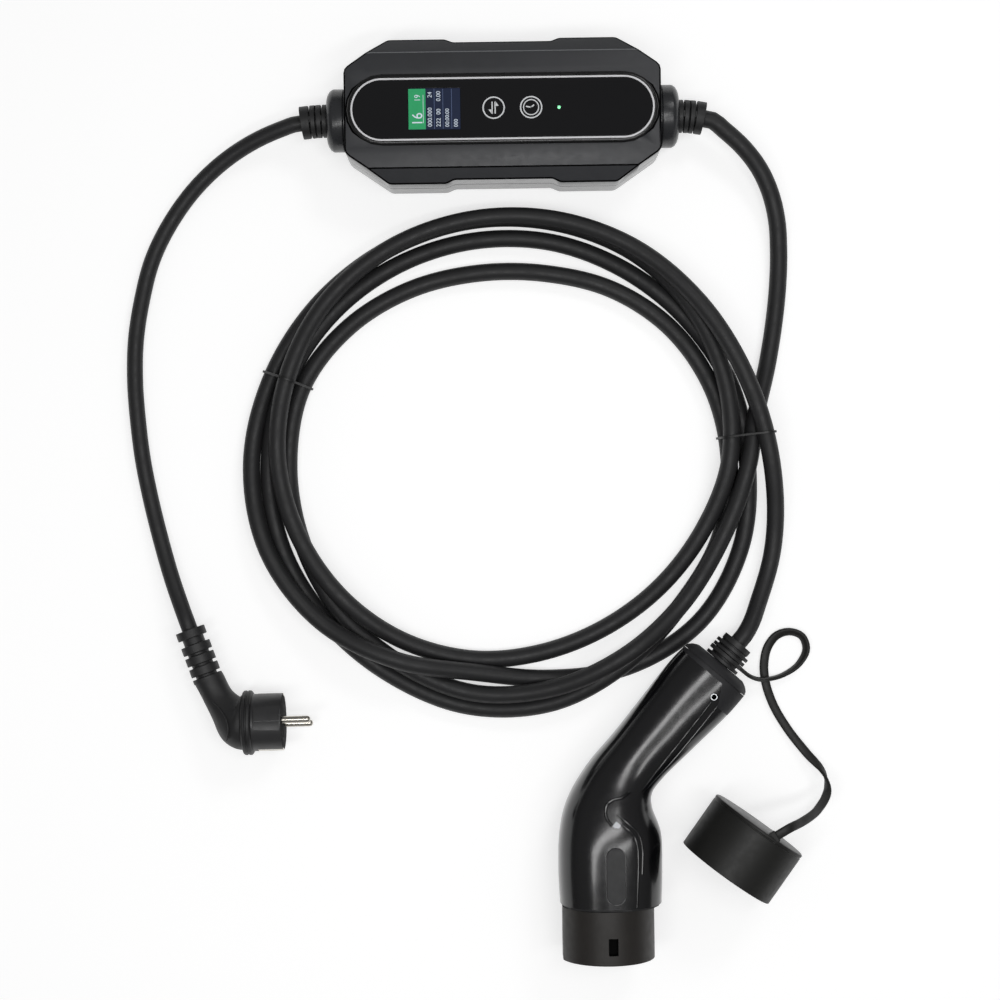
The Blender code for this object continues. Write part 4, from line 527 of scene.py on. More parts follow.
# Inner and outer radius of the printed lines
KEY_RING, CLOCK_RING = (0.0066, 0.0075), (0.0047, 0.0054)
for name, x in (("current_key", CURRENT_KEY_X), ("delay_key", DELAY_KEY_X)):
    printed_ring(name + "_ring", x, KEY_Y, *KEY_RING)
printed_ring("clock_ring", DELAY_KEY_X, KEY_Y, *CLOCK_RING)
STEM = [(0.0006, -0.0040), (0.0014, -0.0040), (0.0014, 0.0040), (0.0006, 0.0040)]
HEAD = [(0.0010, 0.0046), (0.0035, 0.0012), (0.0013, 0.0012)]
for name, side in (("arrow_left", -1), ("arrow_right", 1)):
    for part, outline in (("_stem", STEM), ("_head", HEAD)):
        printed_sign(name + part, [(side * x, side * y) for x, y in outline], CURRENT_KEY_X, KEY_Y)
for name, length, turn in (("clock_hour_hand", 0.0030, 40.0), ("clock_minute_hand", 0.0040, 170.0)):
    bm = slab(length, 0.0009, 0.0002, 0.0, PRINT_THICKNESS, length / 2 - 0.0004, 0.0, 2)
    finished(name, placed(bm, facing((DELAY_KEY_X, KEY_Y, face_z), turn)), white_ink)
# Cast lens over the lamp: an even, bright green.
status_green = glowing("lit_status_lens", "#86ecab", 1.3)
bm = turned([(led_low.z, 0.0), (led_low.z, LENS_RADIUS), (led_high.z - 0.0001, LENS_RADIUS),
             (led_high.z + 0.0001, 0.0006), (led_high.z + 0.0001, 0.0)], led_frame, 24)
finished("status_lens", bm, status_green, ["status_led"])


# What the box and the grip hold
# Two glass-fibre boards, blue relays, a transformer with its tape, a wound leakage sensor, a
# sleeved capacitor, nylon terminal blocks, sheathed wiring, and the silver-plated contacts.
# Glass-fibre board under green solder mask: satin over a fine weave.
board_fibre = moulded("solder_masked_glass_fibre", "#0f5a34", "#0c4a2b", 0.35, 1.2, 0.03)
# Moulded PBT of the relay cases: satin blue.
relay_blue = moulded("relay_case_pbt", "#2b4f8f", "#25457d", 0.40, 0.6, 0.01)
# Filled nylon and tape of the components: matt grey.
component_grey = moulded("filled_nylon", "#6c6e70", "#5e6062", 0.50, 0.7, 0.015)
# PVC sheath of the inner wiring: satin grey.
sheath_grey = moulded("pvc_sheath", "#4b4d50", "#424447", 0.50, 0.9, 0.015)
# Silver-plated copper of the contacts: pale and bright, with fine turning marks.
silver = moulded("silver_plated_copper", "#d6d4cd", "#c2bfb6", 0.28, 0.25, 0.004, Metallic=1.0)
dress(["main_board", "display_board"], board_fibre)
dress(["live_relay", "neutral_relay"], relay_blue)
dress(["power_transformer", "leakage_sensor", "supply_capacitor", "input_terminal_block",
       "output_terminal_block", "cable_clamp"], component_grey)
dress(["input_wiring", "output_wiring", "grip_wiring"], sheath_grey)
dress(["live_contact", "neutral_contact", "earth_contact", "pilot_contact", "proximity_contact"], silver)


# Glands
# Round collars of smooth black ABS that clamp the leads in the end walls. A narrow step stands back
# next to the wall, and the outer edge slopes off widely.
GLAND_Y, GLAND_HEIGHT = -0.0020, 0.0225
GLAND_START, GLAND_END = 0.1068, 0.1194
GLAND_RADIUS = 0.02125
GLAND_BORE, GLAND_TAIL = 0.0063, 0.1017
GLAND_PROFILE = [
    (GLAND_END - 0.0014, GLAND_BORE), (GLAND_END - 0.0014, 0.0132), (GLAND_END, 0.0142),
    (GLAND_END, GLAND_RADIUS - 0.0054), (GLAND_END - 0.0006, GLAND_RADIUS - 0.0036),
    (GLAND_END - 0.0020, GLAND_RADIUS - 0.0014), (GLAND_END - 0.0038, GLAND_RADIUS - 0.0002),
    (GLAND_END - 0.0046, GLAND_RADIUS), (GLAND_START + 0.0014, GLAND_RADIUS),
    (GLAND_START + 0.0010, GLAND_RADIUS - 0.0012), (GLAND_START, GLAND_RADIUS - 0.0012),
    (GLAND_START, 0.0095), (GLAND_TAIL + 0.0020, 0.0095), (GLAND_TAIL + 0.0020, 0.0120),
    (GLAND_TAIL, 0.0120), (GLAND_TAIL, GLAND_BORE), (GLAND_END - 0.0014, GLAND_BORE)]
for name, node, heading in (("left_collar", "input_gland", 180.0), ("right_collar", "output_gland", 0.0)):
    finished(name, turned(GLAND_PROFILE, facing((0.0, GLAND_Y, GLAND_HEIGHT), heading)), smooth_abs,
             [node], edge=0.0003)


# Strain reliefs of the box
# Ribbed sleeves of soft black rubber moulded on each lead, 22.4 mm across, that bend a little with
# it. In the narrow gaps, short webs stand at opposite sides, turned a quarter from gap to gap.
RELIEF_START = 0.1197
RELIEF_LENGTH, RELIEF_PITCH, RELIEF_RIB = 0.0178, 0.0040, 0.0031
RELIEF_RADIUS, RELIEF_CORE, STUB_LENGTH, WEB_HALF = 0.0112, 0.0084, 0.0240, 0.0022
RELIEF_BENDS = {"left_relief": 8.0, "right_relief": -12.0}
# Thermoplastic rubber: dull, with a soft grain.
soft_rubber = moulded("thermoplastic_rubber", "#1b1b1c", "#212122", 0.52, 0.9, 0.03)


def bent(bm, angle, length):
    """Bends a shape that lies along +X into an arc to its +Y side, from x = 0 on."""
    for vert in bm.verts:
        place = vert.co.x
        turn = angle * max(place, 0.0) / length
        centre = Vector((place * (1 - turn * turn / 6), place * turn / 2, 0.0))
        vert.co = centre + Matrix.Rotation(turn, 3, "Z") @ Vector((0.0, vert.co.y, vert.co.z))
    return bm


def web(bm, start, end, inner, outer, half_width, turn):
    """Adds a pair of short webs between two ribs, at opposite sides of the sleeve."""
    for side in (0.0, pi):
        made = bmesh.ops.create_cube(bm, size=1.0)["verts"]
        bmesh.ops.scale(bm, vec=(end - start + 0.0004, 2 * half_width, outer - inner), verts=made)
        bmesh.ops.translate(bm, vec=((start + end) / 2, 0.0, (inner + outer) / 2), verts=made)
        bmesh.ops.rotate(bm, cent=(0, 0, 0), matrix=Matrix.Rotation(turn + side, 3, "X"), verts=made)


def ribbed(rib_starts, rib_width, radius, core, end, root, bore=0.0, webs=False):
    """A ribbed sleeve along +X from its foot at x = 0, closed behind by the root's points."""
    profile = [(end, bore), (end, radius)]
    for start in reversed(rib_starts):
        profile += [(start, radius)]
        if start > 0:
            before = max(s for s in rib_starts if s < start) + rib_width
            profile += [(start, core), (before, core), (before, radius)]
    bm = turned(profile + root, steps=64)
    if webs:
        for i, start in enumerate(rib_starts[1:]):
            web(bm, rib_starts[i] + rib_width, start, core - 0.001, radius - 0.0003, WEB_HALF,
                (i % 2) * pi / 2)
    return bm


for name, node, heading, stub in (("left_relief", "input_strain_relief", 180.0, 0.0055),
                                  ("right_relief", "output_strain_relief", 0.0, 0.0060)):
    bm = ribbed([i * RELIEF_PITCH for i in range(4)], RELIEF_RIB, RELIEF_RADIUS, RELIEF_CORE,
                RELIEF_LENGTH, [(0.0, stub), (-STUB_LENGTH, stub), (-STUB_LENGTH, 0.0)], webs=True)
    bent(bm, radians(RELIEF_BENDS[name]), RELIEF_LENGTH)
    place = (cos(radians(heading)) * RELIEF_START, GLAND_Y, GLAND_HEIGHT)
    finished(name, placed(bm, facing(place, heading)), soft_rubber, [node], edge=0.0004)


# Mains plug
# One soft moulding holds the ribbed relief, the elbow and the collar. A hard insert with flat guides
# stands out of the collar and carries two nickel-plated pins and the earth strips in its sides.
def sleeve(rings):
    """A closed skin over rings of points that match one to one, drawn on a grid."""
    count = len(rings[0])
    bm = bmesh.new()
    bmesh.ops.create_grid(bm, x_segments=count, y_segments=len(rings) - 1, size=1.0)
    bm.verts.ensure_lookup_table()
    order = sorted(bm.verts, key=lambda v: (round(v.co.y, 6), round(v.co.x, 6)))
    for i, vert in enumerate(order):
        row, column = divmod(i, count + 1)
        vert.co = rings[row][column % count]
    bmesh.ops.remove_doubles(bm, verts=bm.verts, dist=0.000002)
    bmesh.ops.holes_fill(bm, edges=[e for e in bm.edges if e.is_boundary], sides=0)
    return bm


def oval(half_width, half_height, power=2.0, count=64, start=0.0, end=360.0):
    """Points on a rounded oval, all round or between two angles."""
    whole = end - start >= 360.0
    spots = []
    for i in range(count if whole else count + 1):
        angle = radians(start + (end - start) * i / count)
        c, s = cos(angle), sin(angle)
        spots.append((half_width * abs(c) ** (2 / power) * (1 if c >= 0 else -1),
                      half_height * abs(s) ** (2 / power) * (1 if s >= 0 else -1)))
    return spots


def upright(place, heading, spots):
    """Stands flat (across, up) points at a place, facing along a heading."""
    side = Vector((-sin(radians(heading)), cos(radians(heading)), 0.0))
    return [Vector(place) + side * a + Vector((0.0, 0.0, b)) for a, b in spots]


def smooth_rows(rows, steps):
    """Rows of numbers with smooth rows added between them."""
    drawn = []
    for i in range(len(rows) - 1):
        a, b, c, d = rows[max(i - 1, 0)], rows[i], rows[i + 1], rows[min(i + 2, len(rows) - 1)]
        for step in range(steps):
            t = step / steps
            drawn.append(tuple(0.5 * (2 * q + (r - p) * t + (2 * p - 5 * q + 4 * r - s) * t * t
                                      + (3 * q - p - 3 * r + s) * t ** 3)
                               for p, q, r, s in zip(a, b, c, d)))
    drawn.append(tuple(rows[-1]))
    return drawn


def skin_height(x, y, rows, power):
    """The height of a lofted body's upper skin over a place, found from its nearest row."""
    best = min(rows, key=lambda r: (r[0] - x) ** 2 + (r[1] - y) ** 2)
    side = Vector((-sin(radians(best[3])), cos(radians(best[3]))))
    across = abs((Vector((x, y)) - Vector(best[:2])).dot(side))
    return best[2] + best[5] * max(0.0, 1 - min(across / best[4], 1.0) ** power) ** (1 / power)


def rounded_path(points, spacing):
    """A smooth line through points, with places added along it at about this spacing."""
    places = [Vector(p) for p in points]
    reach = [(b - a).to_3d().length for a, b in zip(places, places[1:])]
    slopes = [(places[1] - places[0]) / reach[0]]
    for i in range(1, len(places) - 1):
        before = (places[i] - places[i - 1]) / reach[i - 1]
        after = (places[i + 1] - places[i]) / reach[i]
        slopes.append((before * reach[i] + after * reach[i - 1]) / (reach[i] + reach[i - 1]))
    slopes.append((places[-1] - places[-2]) / reach[-1])
    drawn = []
    for i, length in enumerate(reach):
        steps = max(1, round(length / spacing))
        for step in range(steps):
            t = step / steps
            drawn.append(places[i] * (2 * t ** 3 - 3 * t * t + 1)
                         + slopes[i] * length * (t ** 3 - 2 * t * t + t)
                         + places[i + 1] * (3 * t * t - 2 * t ** 3)
                         + slopes[i + 1] * length * (t ** 3 - t * t))
    drawn.append(places[-1])
    return drawn


def with_sides(centres):
    """Each place of a line with its level side and its upward side."""
    for i, centre in enumerate(centres):
        along = (centres[min(i + 1, len(centres) - 1)] - centres[max(i - 1, 0)]).normalized()
        side = along.cross(Vector((0, 0, 1))).normalized()
        yield centre, side, side.cross(along)


def along_skin(points, radius, rows, power):
    """A round rod that follows a lofted body's skin through flat places."""
    flat = rounded_path([(x, y, 0.0) for x, y in points], 0.003)
    centres = [Vector((p.x, p.y, skin_height(p.x, p.y, rows, power) + radius * 0.25)) for p in flat]
    return sleeve([[centre + side * radius * cos(a * pi / 5) + lift * radius * sin(a * pi / 5)
                    for a in range(10)] for centre, side, lift in with_sides(centres)])


PLUG_PLACE, PLUG_HEADING, PLUG_ROLL = (-0.1828, -0.4122, 0.0221), 0.8, -14.0
PLUG_FRAME = facing(PLUG_PLACE, PLUG_HEADING, PLUG_ROLL)
PLUG_RELIEF_PLACE, PLUG_RELIEF_HEADING = (-0.2192, -0.3482, 0.0180), -70.3
# Sections of the elbow: place, heading, half width and half height
ELBOW_ROWS = [
    (-0.2078, -0.3801, 0.0189, -70.3, 0.0103, 0.0103), (-0.2060, -0.3830, 0.0190, -70.3, 0.0103, 0.0103),
    (-0.2006, -0.3933, 0.0198, -68.0, 0.0102, 0.0106), (-0.1946, -0.4020, 0.0212, -50.0, 0.0120, 0.0130),
    (-0.1906, -0.4088, 0.0219, -27.0, 0.0156, 0.0162), (-0.1868, -0.4114, 0.0221, -8.0, 0.0180, 0.0182),
    (-0.1828, -0.4122, 0.0221, 0.8, 0.0186, 0.0186)]
# Where the relief's ribs start, and its sizes
PLUG_RIBS, PLUG_RIB_WIDTH = [0.0, 0.0106, 0.0184, 0.0262, 0.0340], 0.0058
PLUG_RELIEF_RADIUS, PLUG_RELIEF_CORE, PLUG_RELIEF_LENGTH = 0.0102, 0.0074, 0.0370
rise = (ELBOW_ROWS[1][2] - PLUG_RELIEF_PLACE[2]) / PLUG_RELIEF_LENGTH
bm = ribbed(PLUG_RIBS, PLUG_RIB_WIDTH, PLUG_RELIEF_RADIUS, PLUG_RELIEF_CORE, PLUG_RELIEF_LENGTH,
            [(0.0, 0.0)])
tilted = facing(PLUG_RELIEF_PLACE, PLUG_RELIEF_HEADING) @ Matrix.Rotation(-rise, 4, "Y")
plug_relief = finished("plug_relief", placed(bm, tilted), soft_rubber, edge=0.0004)
elbow_rows = smooth_rows(ELBOW_ROWS, 8)
rings = [upright((x, y, z), heading, oval(a, b)) for x, y, z, heading, a, b in elbow_rows]
elbow = finished("plug_elbow", sleeve(rings), soft_rubber, ["plug_body"], smooth=50.0)
THUMB_LINE = [(-0.2017, -0.3973), (-0.1964, -0.4021), (-0.1917, -0.4103), (-0.1912, -0.4171),
              (-0.1926, -0.4225)]
thumb_edge = finished("plug_thumb_edge", along_skin(THUMB_LINE, 0.0005, elbow_rows, 2.0), soft_rubber,
                      smooth=60.0)
bm = turned([(0.0069, 0.0), (0.0069, 0.0206), (0.0062, 0.0216), (0.0056, 0.0220), (0.0042, 0.0220),
             (0.0037, 0.0214), (0.0032, 0.0214), (0.0027, 0.0220), (0.0012, 0.0219), (0.0004, 0.0212),
             (0.0, 0.0196), (-0.0010, 0.0180), (-0.0010, 0.0)], PLUG_FRAME)
collar = finished("plug_collar", bm, soft_rubber, smooth=50.0)
# Polyamide insert: hard, a little glossier than the moulding.
polyamide = moulded("black_polyamide", "#29292a", "#303031", 0.40, 0.9, 0.010)
FACE_START, FACE_END, FACE_RADIUS = 0.0072, 0.0275, 0.0195
PIN_RADIUS, PIN_SPREAD, PIN_ROOT, PIN_END = 0.0024, 0.0095, -0.0117, 0.0465
HOLE_RADIUS, EARTH_HOLE_DEPTH, EARTH_HOLE_SIDE = 0.0027, 0.0150, -0.0085
# Flat guides beside the pins, recesses of the earth strips between them, and two fine lines on top
GUIDE_LENGTH, GUIDE_LIP, GUIDE_HALF, GUIDE_DEPTH = 0.0190, 0.0014, 0.0100, 0.0015
STRIP_LENGTH, STRIP_HALF, STRIP_DEPTH = 0.0173, 0.0043, 0.0018
LINE_PLACES, LINE_WIDTH, LINE_DEPTH = (0.0022, 0.0062), 0.0006, 0.0022
# How far the hollows' cutters reach outside the insert
PAST_FACE, PAST_SIDE = 0.0003, 0.0012


def bar(low, high, frame=Matrix.Identity(4)):
    """A closed block between two corners, in a frame."""
    bm = bmesh.new()
    bmesh.ops.create_cube(bm, size=1.0)
    low, high = Vector(low), Vector(high)
    bmesh.ops.scale(bm, vec=high - low, verts=bm.verts)
    bmesh.ops.translate(bm, vec=(low + high) / 2, verts=bm.verts)
    return placed(bm, frame)


bm = turned([(FACE_END, 0.0), (FACE_END, FACE_RADIUS - 0.0008), (FACE_END - 0.0002, FACE_RADIUS - 0.0003),
             (FACE_END - 0.0008, FACE_RADIUS), (FACE_START - 0.0010, FACE_RADIUS),
             (FACE_START - 0.0010, 0.0)], PLUG_FRAME)
insert = finished("plug_insert", bm, polyamide, ["plug_face"], edge=0.0003)
hollows = []
for side in (-1, 1):
    near, far = sorted((side * (FACE_RADIUS - GUIDE_DEPTH), side * (FACE_RADIUS + GUIDE_DEPTH)))
    hollows.append(bar((FACE_END - GUIDE_LENGTH, -GUIDE_HALF, near),
                       (FACE_END - GUIDE_LIP, GUIDE_HALF, far), PLUG_FRAME))
    near, far = sorted((side * (FACE_RADIUS - STRIP_DEPTH), side * (FACE_RADIUS + PAST_SIDE)))
    hollows.append(bar((FACE_END - STRIP_LENGTH, near, -STRIP_HALF),
                       (FACE_END + PAST_FACE, far, STRIP_HALF), PLUG_FRAME))
    hollows.append(rod(FACE_START, FACE_END + PAST_FACE, HOLE_RADIUS,
                       PLUG_FRAME @ Matrix.Translation((0, 0, side * PIN_SPREAD)), 32))
hollows.append(rod(FACE_END - EARTH_HOLE_DEPTH, FACE_END + PAST_FACE, HOLE_RADIUS,
                   PLUG_FRAME @ Matrix.Translation((0, EARTH_HOLE_SIDE, 0)), 32))
for line_y in LINE_PLACES:
    hollows.append(bar((FACE_START + 0.0012, line_y, FACE_RADIUS - LINE_DEPTH),
                       (FACE_END + 0.0010, line_y + LINE_WIDTH, 0.03), facing(PLUG_PLACE, PLUG_HEADING)))
cut_from(insert, hollows)
# The face is left rough from the mould and gives no glare.
face_polyamide = moulded("rough_polyamide", "#1a1a1b", "#202021", 0.70, 0.6, 0.020, Specular_IOR_Level=0.05)
ahead = PLUG_FRAME.to_3x3() @ Vector((1.0, 0.0, 0.0))
parts_of(insert, [face_polyamide], lambda centre, normal: 1 if normal.dot(ahead) > 0.5 else 0)
# Nickel-plated brass: warm grey metal with soft draw marks.
nickel = moulded("nickel_plated_brass", "#cfcbc2", "#b9b4aa", 0.24, 0.5, 0.004, Metallic=1.0)
for name, node, side in (("upper_pin", "live_pin", 1), ("lower_pin", "neutral_pin", -1)):
    bm = turned([(PIN_END, 0.0), (PIN_END, 0.0010), (PIN_END - 0.0005, 0.0018), (PIN_END - 0.0015, 0.0023),
                 (PIN_END - 0.0025, PIN_RADIUS), (PIN_ROOT, PIN_RADIUS), (PIN_ROOT, 0.0)],
                PLUG_FRAME @ Matrix.Translation((0, 0, side * PIN_SPREAD)), 40)
    finished(name, bm, nickel, [node], smooth=50.0)
dress(["earth_strip_left", "earth_strip_right"], nickel)


# Leads
# Both leads are rubber-sheathed flexible cable, dull black. The mains lead bows out from the box to
# the plug. The charging lead runs down beside the box, four times round the coil and up to the grip.
def lead(name, path, diameter, finish, node):
    """A round lead along a smooth line, nowhere below the table; returns its object and its length."""
    for place in path:
        place.z = max(place.z, diameter / 2)
    curve = bpy.data.curves.new(name, "CURVE")
    curve.dimensions = "3D"
    curve.bevel_depth = diameter / 2
    curve.bevel_resolution = 8
    curve.use_fill_caps = True
    spline = curve.splines.new("POLY")
    spline.points.add(len(path) - 1)
    for spot, place in zip(spline.points, path):
        spot.co = (*place, 1.0)
    spline.use_smooth = True
    curve.materials.append(finish)
    made = bpy.data.objects.new(name, curve)
    bpy.context.scene.collection.objects.link(made)
    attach(made, "root")
    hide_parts(node)
    return made, sum((b - a).length for a, b in zip(path, path[1:]))


def relief_tip(side, angle):
    """A frame on the outer face of one of the box's reliefs, +X along the lead."""
    turn = radians(angle)
    place = (side * (RELIEF_START + RELIEF_LENGTH * (1 - turn * turn / 6)),
             GLAND_Y - RELIEF_LENGTH * turn / 2, GLAND_HEIGHT)
    return facing(place, -angle if side > 0 else 180.0 + angle)


def ahead_of(frame, *gaps):
    """Places along a frame's +X."""
    return [tuple(frame @ Vector((gap, 0.0, 0.0))) for gap in gaps]


# Rubber cable sheath: dull, faintly talced, with the fine ripple of extrusion.
rubber_sheath = moulded("rubber_cable_sheath", "#232324", "#2a2a2b", 0.50, 0.8, 0.022, 0.07,
                        Specular_IOR_Level=0.35)
INPUT_DIAMETER, OUTPUT_DIAMETER = 0.0110, 0.0120
INPUT_ROUTE = [
    (-0.1500, -0.0062, 0.0213), (-0.1663, -0.0122, 0.0180), (-0.1878, -0.0236, 0.0126),
    (-0.2094, -0.0410, 0.0080), (-0.2292, -0.0656, 0.0057), (-0.2434, -0.0931, 0.0056),
    (-0.2510, -0.1207, 0.0056), (-0.2556, -0.1483, 0.0056), (-0.2566, -0.1759, 0.0056),
    (-0.2550, -0.2036, 0.0056), (-0.2519, -0.2313, 0.0056), (-0.2467, -0.2591, 0.0056),
    (-0.2400, -0.2868, 0.0070), (-0.2318, -0.3144, 0.0110), (-0.2256, -0.3315, 0.0148)]
ends = ahead_of(relief_tip(-1, RELIEF_BENDS["left_relief"]), -0.0010, 0.0055)
far = ahead_of(facing(PLUG_RELIEF_PLACE, PLUG_RELIEF_HEADING), -0.0055, 0.0010)
path = rounded_path(ends + INPUT_ROUTE + far, 0.004)
mains_lead, mains_length = lead("mains_lead", path, INPUT_DIAMETER, rubber_sheath, "input_cable")
OUTPUT_LEAD_IN = [
    (0.1510, -0.0112, 0.0214), (0.1653, -0.0239, 0.0184), (0.1757, -0.0370, 0.0152),
    (0.1833, -0.0524, 0.0118), (0.1881, -0.0710, 0.0088), (0.1895, -0.0934, 0.0068),
    (0.1886, -0.1165, 0.0062), (0.1854, -0.1441, 0.0062), (0.1809, -0.1697, 0.0065),
    (0.1706, -0.2093, 0.0156)]
OUTPUT_LEAD_OUT = [(0.1705, -0.3363, 0.0160), (0.1650, -0.3487, 0.0225)]
COIL_CENTRE = (0.0033, -0.2362)
COIL_TILT, COIL_STEP = -0.8, 20
COIL_REST, COIL_LAYER = 0.0061, 0.0122
# Each turn runs clockwise from the +X side: radius, then layers above the table
COIL_TURNS = [
    [(0.1624, 1.05), (0.1531, 1.00), (0.1518, 1.00), (0.1528, 2.00), (0.1576, 1.25), (0.1611, 0.70),
     (0.1585, 0.60), (0.1572, 0.30), (0.1553, 0.00), (0.1543, 0.00), (0.1535, 0.13), (0.1462, 0.00),
     (0.1381, 0.00), (0.1325, 0.00), (0.1323, 0.00), (0.1377, 0.00), (0.1434, 0.00), (0.1473, 0.13)],
    [(0.1500, 0.13), (0.1528, 0.00), (0.1528, 0.00), (0.1583, 1.00), (0.1680, 0.50), (0.1715, 0.00),
     (0.1693, 0.00), (0.1689, 0.00), (0.1697, 0.00), (0.1680, 0.00), (0.1645, 0.50), (0.1607, 0.25),
     (0.1573, 0.00), (0.1550, 0.00), (0.1542, 0.00), (0.1538, 0.00), (0.1559, 0.00), (0.1599, 0.13)],
    [(0.1625, 0.13), (0.1687, 0.00), (0.1703, 0.00), (0.1628, 0.00), (0.1518, 0.00), (0.1469, 0.75),
     (0.1567, 1.70), (0.1707, 1.10), (0.1791, 0.65), (0.1797, 0.25), (0.1758, 0.13), (0.1725, 0.00),
     (0.1701, 0.00), (0.1691, 0.00), (0.1678, 0.15), (0.1671, 0.10), (0.1622, 0.90), (0.1558, 1.10)],
    [(0.1488, 1.12), (0.1395, 0.45), (0.1337, 0.00), (0.1312, 0.00), (0.1330, 0.00), (0.1384, 0.00),
     (0.1439, 0.40), (0.1489, 1.20), (0.1548, 1.05), (0.1606, 1.00), (0.1637, 1.55), (0.1676, 1.20),
     (0.1686, 1.00), (0.1684, 1.00), (0.1686, 1.00), (0.1686, 1.25), (0.1674, 1.80), (0.1692, 1.95)],
    [(0.1772, 1.40), (0.1902, 0.40)]]
coil = []
for turn, spots in enumerate(COIL_TURNS):
    for step, (radius, layer) in enumerate(spots):
        angle = radians(COIL_TILT - COIL_STEP * step - 360.0 * turn)
        coil.append((COIL_CENTRE[0] + radius * cos(angle), COIL_CENTRE[1] + radius * sin(angle),
                     COIL_REST + COIL_LAYER * layer))
REAR_FRAME = facing((0.1390, -0.3810, 0.0250), 49.0)
REAR_REACH = 0.0255
ends = ahead_of(relief_tip(1, -RELIEF_BENDS["right_relief"]), -0.0010, 0.0060)
last = ahead_of(REAR_FRAME, REAR_REACH + 0.0060, REAR_REACH - 0.0003, REAR_REACH - 0.0375)
inside_grip = [(0.1050, -0.4170, 0.0272), (0.0847, -0.4387, 0.0292), (0.0770, -0.4480, 0.0300)]
path = rounded_path(ends + OUTPUT_LEAD_IN + coil + OUTPUT_LEAD_OUT + last + inside_grip, 0.005)
charging_lead, charging_length = lead("charging_lead", path, OUTPUT_DIAMETER, rubber_sheath,
                                      "output_cable")


# Coil ties
# Two thin black plastic-coated wires, each drawn tight once round every strand that passes it. They
# hold the coil's turns together, one on each side.
def strands_at(angle, route):
    """Where the route crosses a half plane out from the coil's centre: (radius, height)."""
    out = Vector((cos(radians(angle)), sin(radians(angle))))
    spots = []
    for near, far in zip(route, route[1:]):
        a, b = near.xy - Vector(COIL_CENTRE), far.xy - Vector(COIL_CENTRE)
        side_a, side_b = out.x * a.y - out.y * a.x, out.x * b.y - out.y * b.x
        if side_a * side_b <= 0.0 and side_a != side_b and out.dot(a) > 0.0 and a.length < 0.2:
            t = side_a / (side_a - side_b)
            spots.append((a.lerp(b, t).dot(out), near.z + (far.z - near.z) * t))
    return spots


# Plastic-coated wire: smooth, with a soft shine.
coated_wire = moulded("plastic_coated_wire", "#0d0d0e", "#131314", 0.46, 1.0, 0.01)
TIE_HALF_WIDTH, TIE_REACH, TIE_THICKNESS = 0.0008, 0.0066, 0.0008
for name, node, angle in (("left_tie", "left_cable_tie", 159.2), ("right_tie", "right_cable_tie", 5.7)):
    bm = bmesh.new()
    for radius, height in strands_at(angle, path):
        for edge in (-TIE_HALF_WIDTH, TIE_HALF_WIDTH):
            rim = bmesh.ops.create_circle(bm, segments=28, radius=TIE_REACH)["verts"]
            bmesh.ops.rotate(bm, cent=(0, 0, 0), matrix=Matrix.Rotation(pi / 2, 3, "X"), verts=rim)
            bmesh.ops.translate(bm, vec=(radius, edge, height), verts=rim)
    wrap = bmesh.ops.convex_hull(bm, input=bm.verts[:])
    spare = {part for key in ("geom_interior", "geom_unused") for part in wrap[key]
             if isinstance(part, bmesh.types.BMVert)}
    bmesh.ops.delete(bm, geom=list(spare), context="VERTS")
    bm.normal_update()
    bmesh.ops.delete(bm, geom=[f for f in bm.faces if abs(f.normal.y) > 0.9], context="FACES_ONLY")
    bmesh.ops.delete(bm, geom=[e for e in bm.edges if not e.link_faces], context="EDGES")
    bmesh.ops.solidify(bm, geom=bm.faces[:], thickness=-TIE_THICKNESS)
    finished(name, placed(bm, facing((*COIL_CENTRE, 0.0), angle)), coated_wire, [node],
                         edge=0.0002)


# Connector relief and strap ring
# The charging lead leaves the grip through a ribbed rubber sleeve. A ring of the same rubber sits in
# its first groove and carries the dust cap's strap.
# Where the sleeve's ribs start, and its sizes; the last rib is less high
REAR_RIBS, REAR_RIB_WIDTH = [0.0, 0.0072, 0.0107, 0.0142], 0.0023
REAR_RADIUS, LAST_RIB_RADIUS = 0.0130, 0.0108
REAR_BASE, REAR_END, REAR_CORE, REAR_BORE = 0.0073, 0.0182, 0.0102, OUTPUT_DIAMETER / 2
bm = ribbed(REAR_RIBS, REAR_RIB_WIDTH, REAR_RADIUS, REAR_CORE, REAR_END,
            [(0.0, REAR_BORE), (REAR_END, REAR_BORE)], bore=REAR_BORE)
for vert in bm.verts:
    reach = vert.co.yz.length
    if vert.co.x > REAR_RIBS[-1] - 0.0001 and reach > REAR_CORE + 0.0001:
        vert.co.yz *= LAST_RIB_RADIUS / reach
placed(bm, REAR_FRAME @ Matrix.Translation((REAR_BASE, 0, 0)))
connector_relief = finished("connector_relief", bm, soft_rubber,
                            ["connector_strain_relief"], edge=0.0004)
RING_NEAR, RING_INNER, RING_OUTER, RING_WIDTH = REAR_BASE + 0.0039, 0.0105, 0.0133, 0.0030
bm = tube(RING_NEAR, RING_NEAR + RING_WIDTH, RING_INNER, RING_OUTER, REAR_FRAME)
strap_ring = finished("strap_collar", bm, soft_rubber, ["strap_ring"], edge=0.0005)


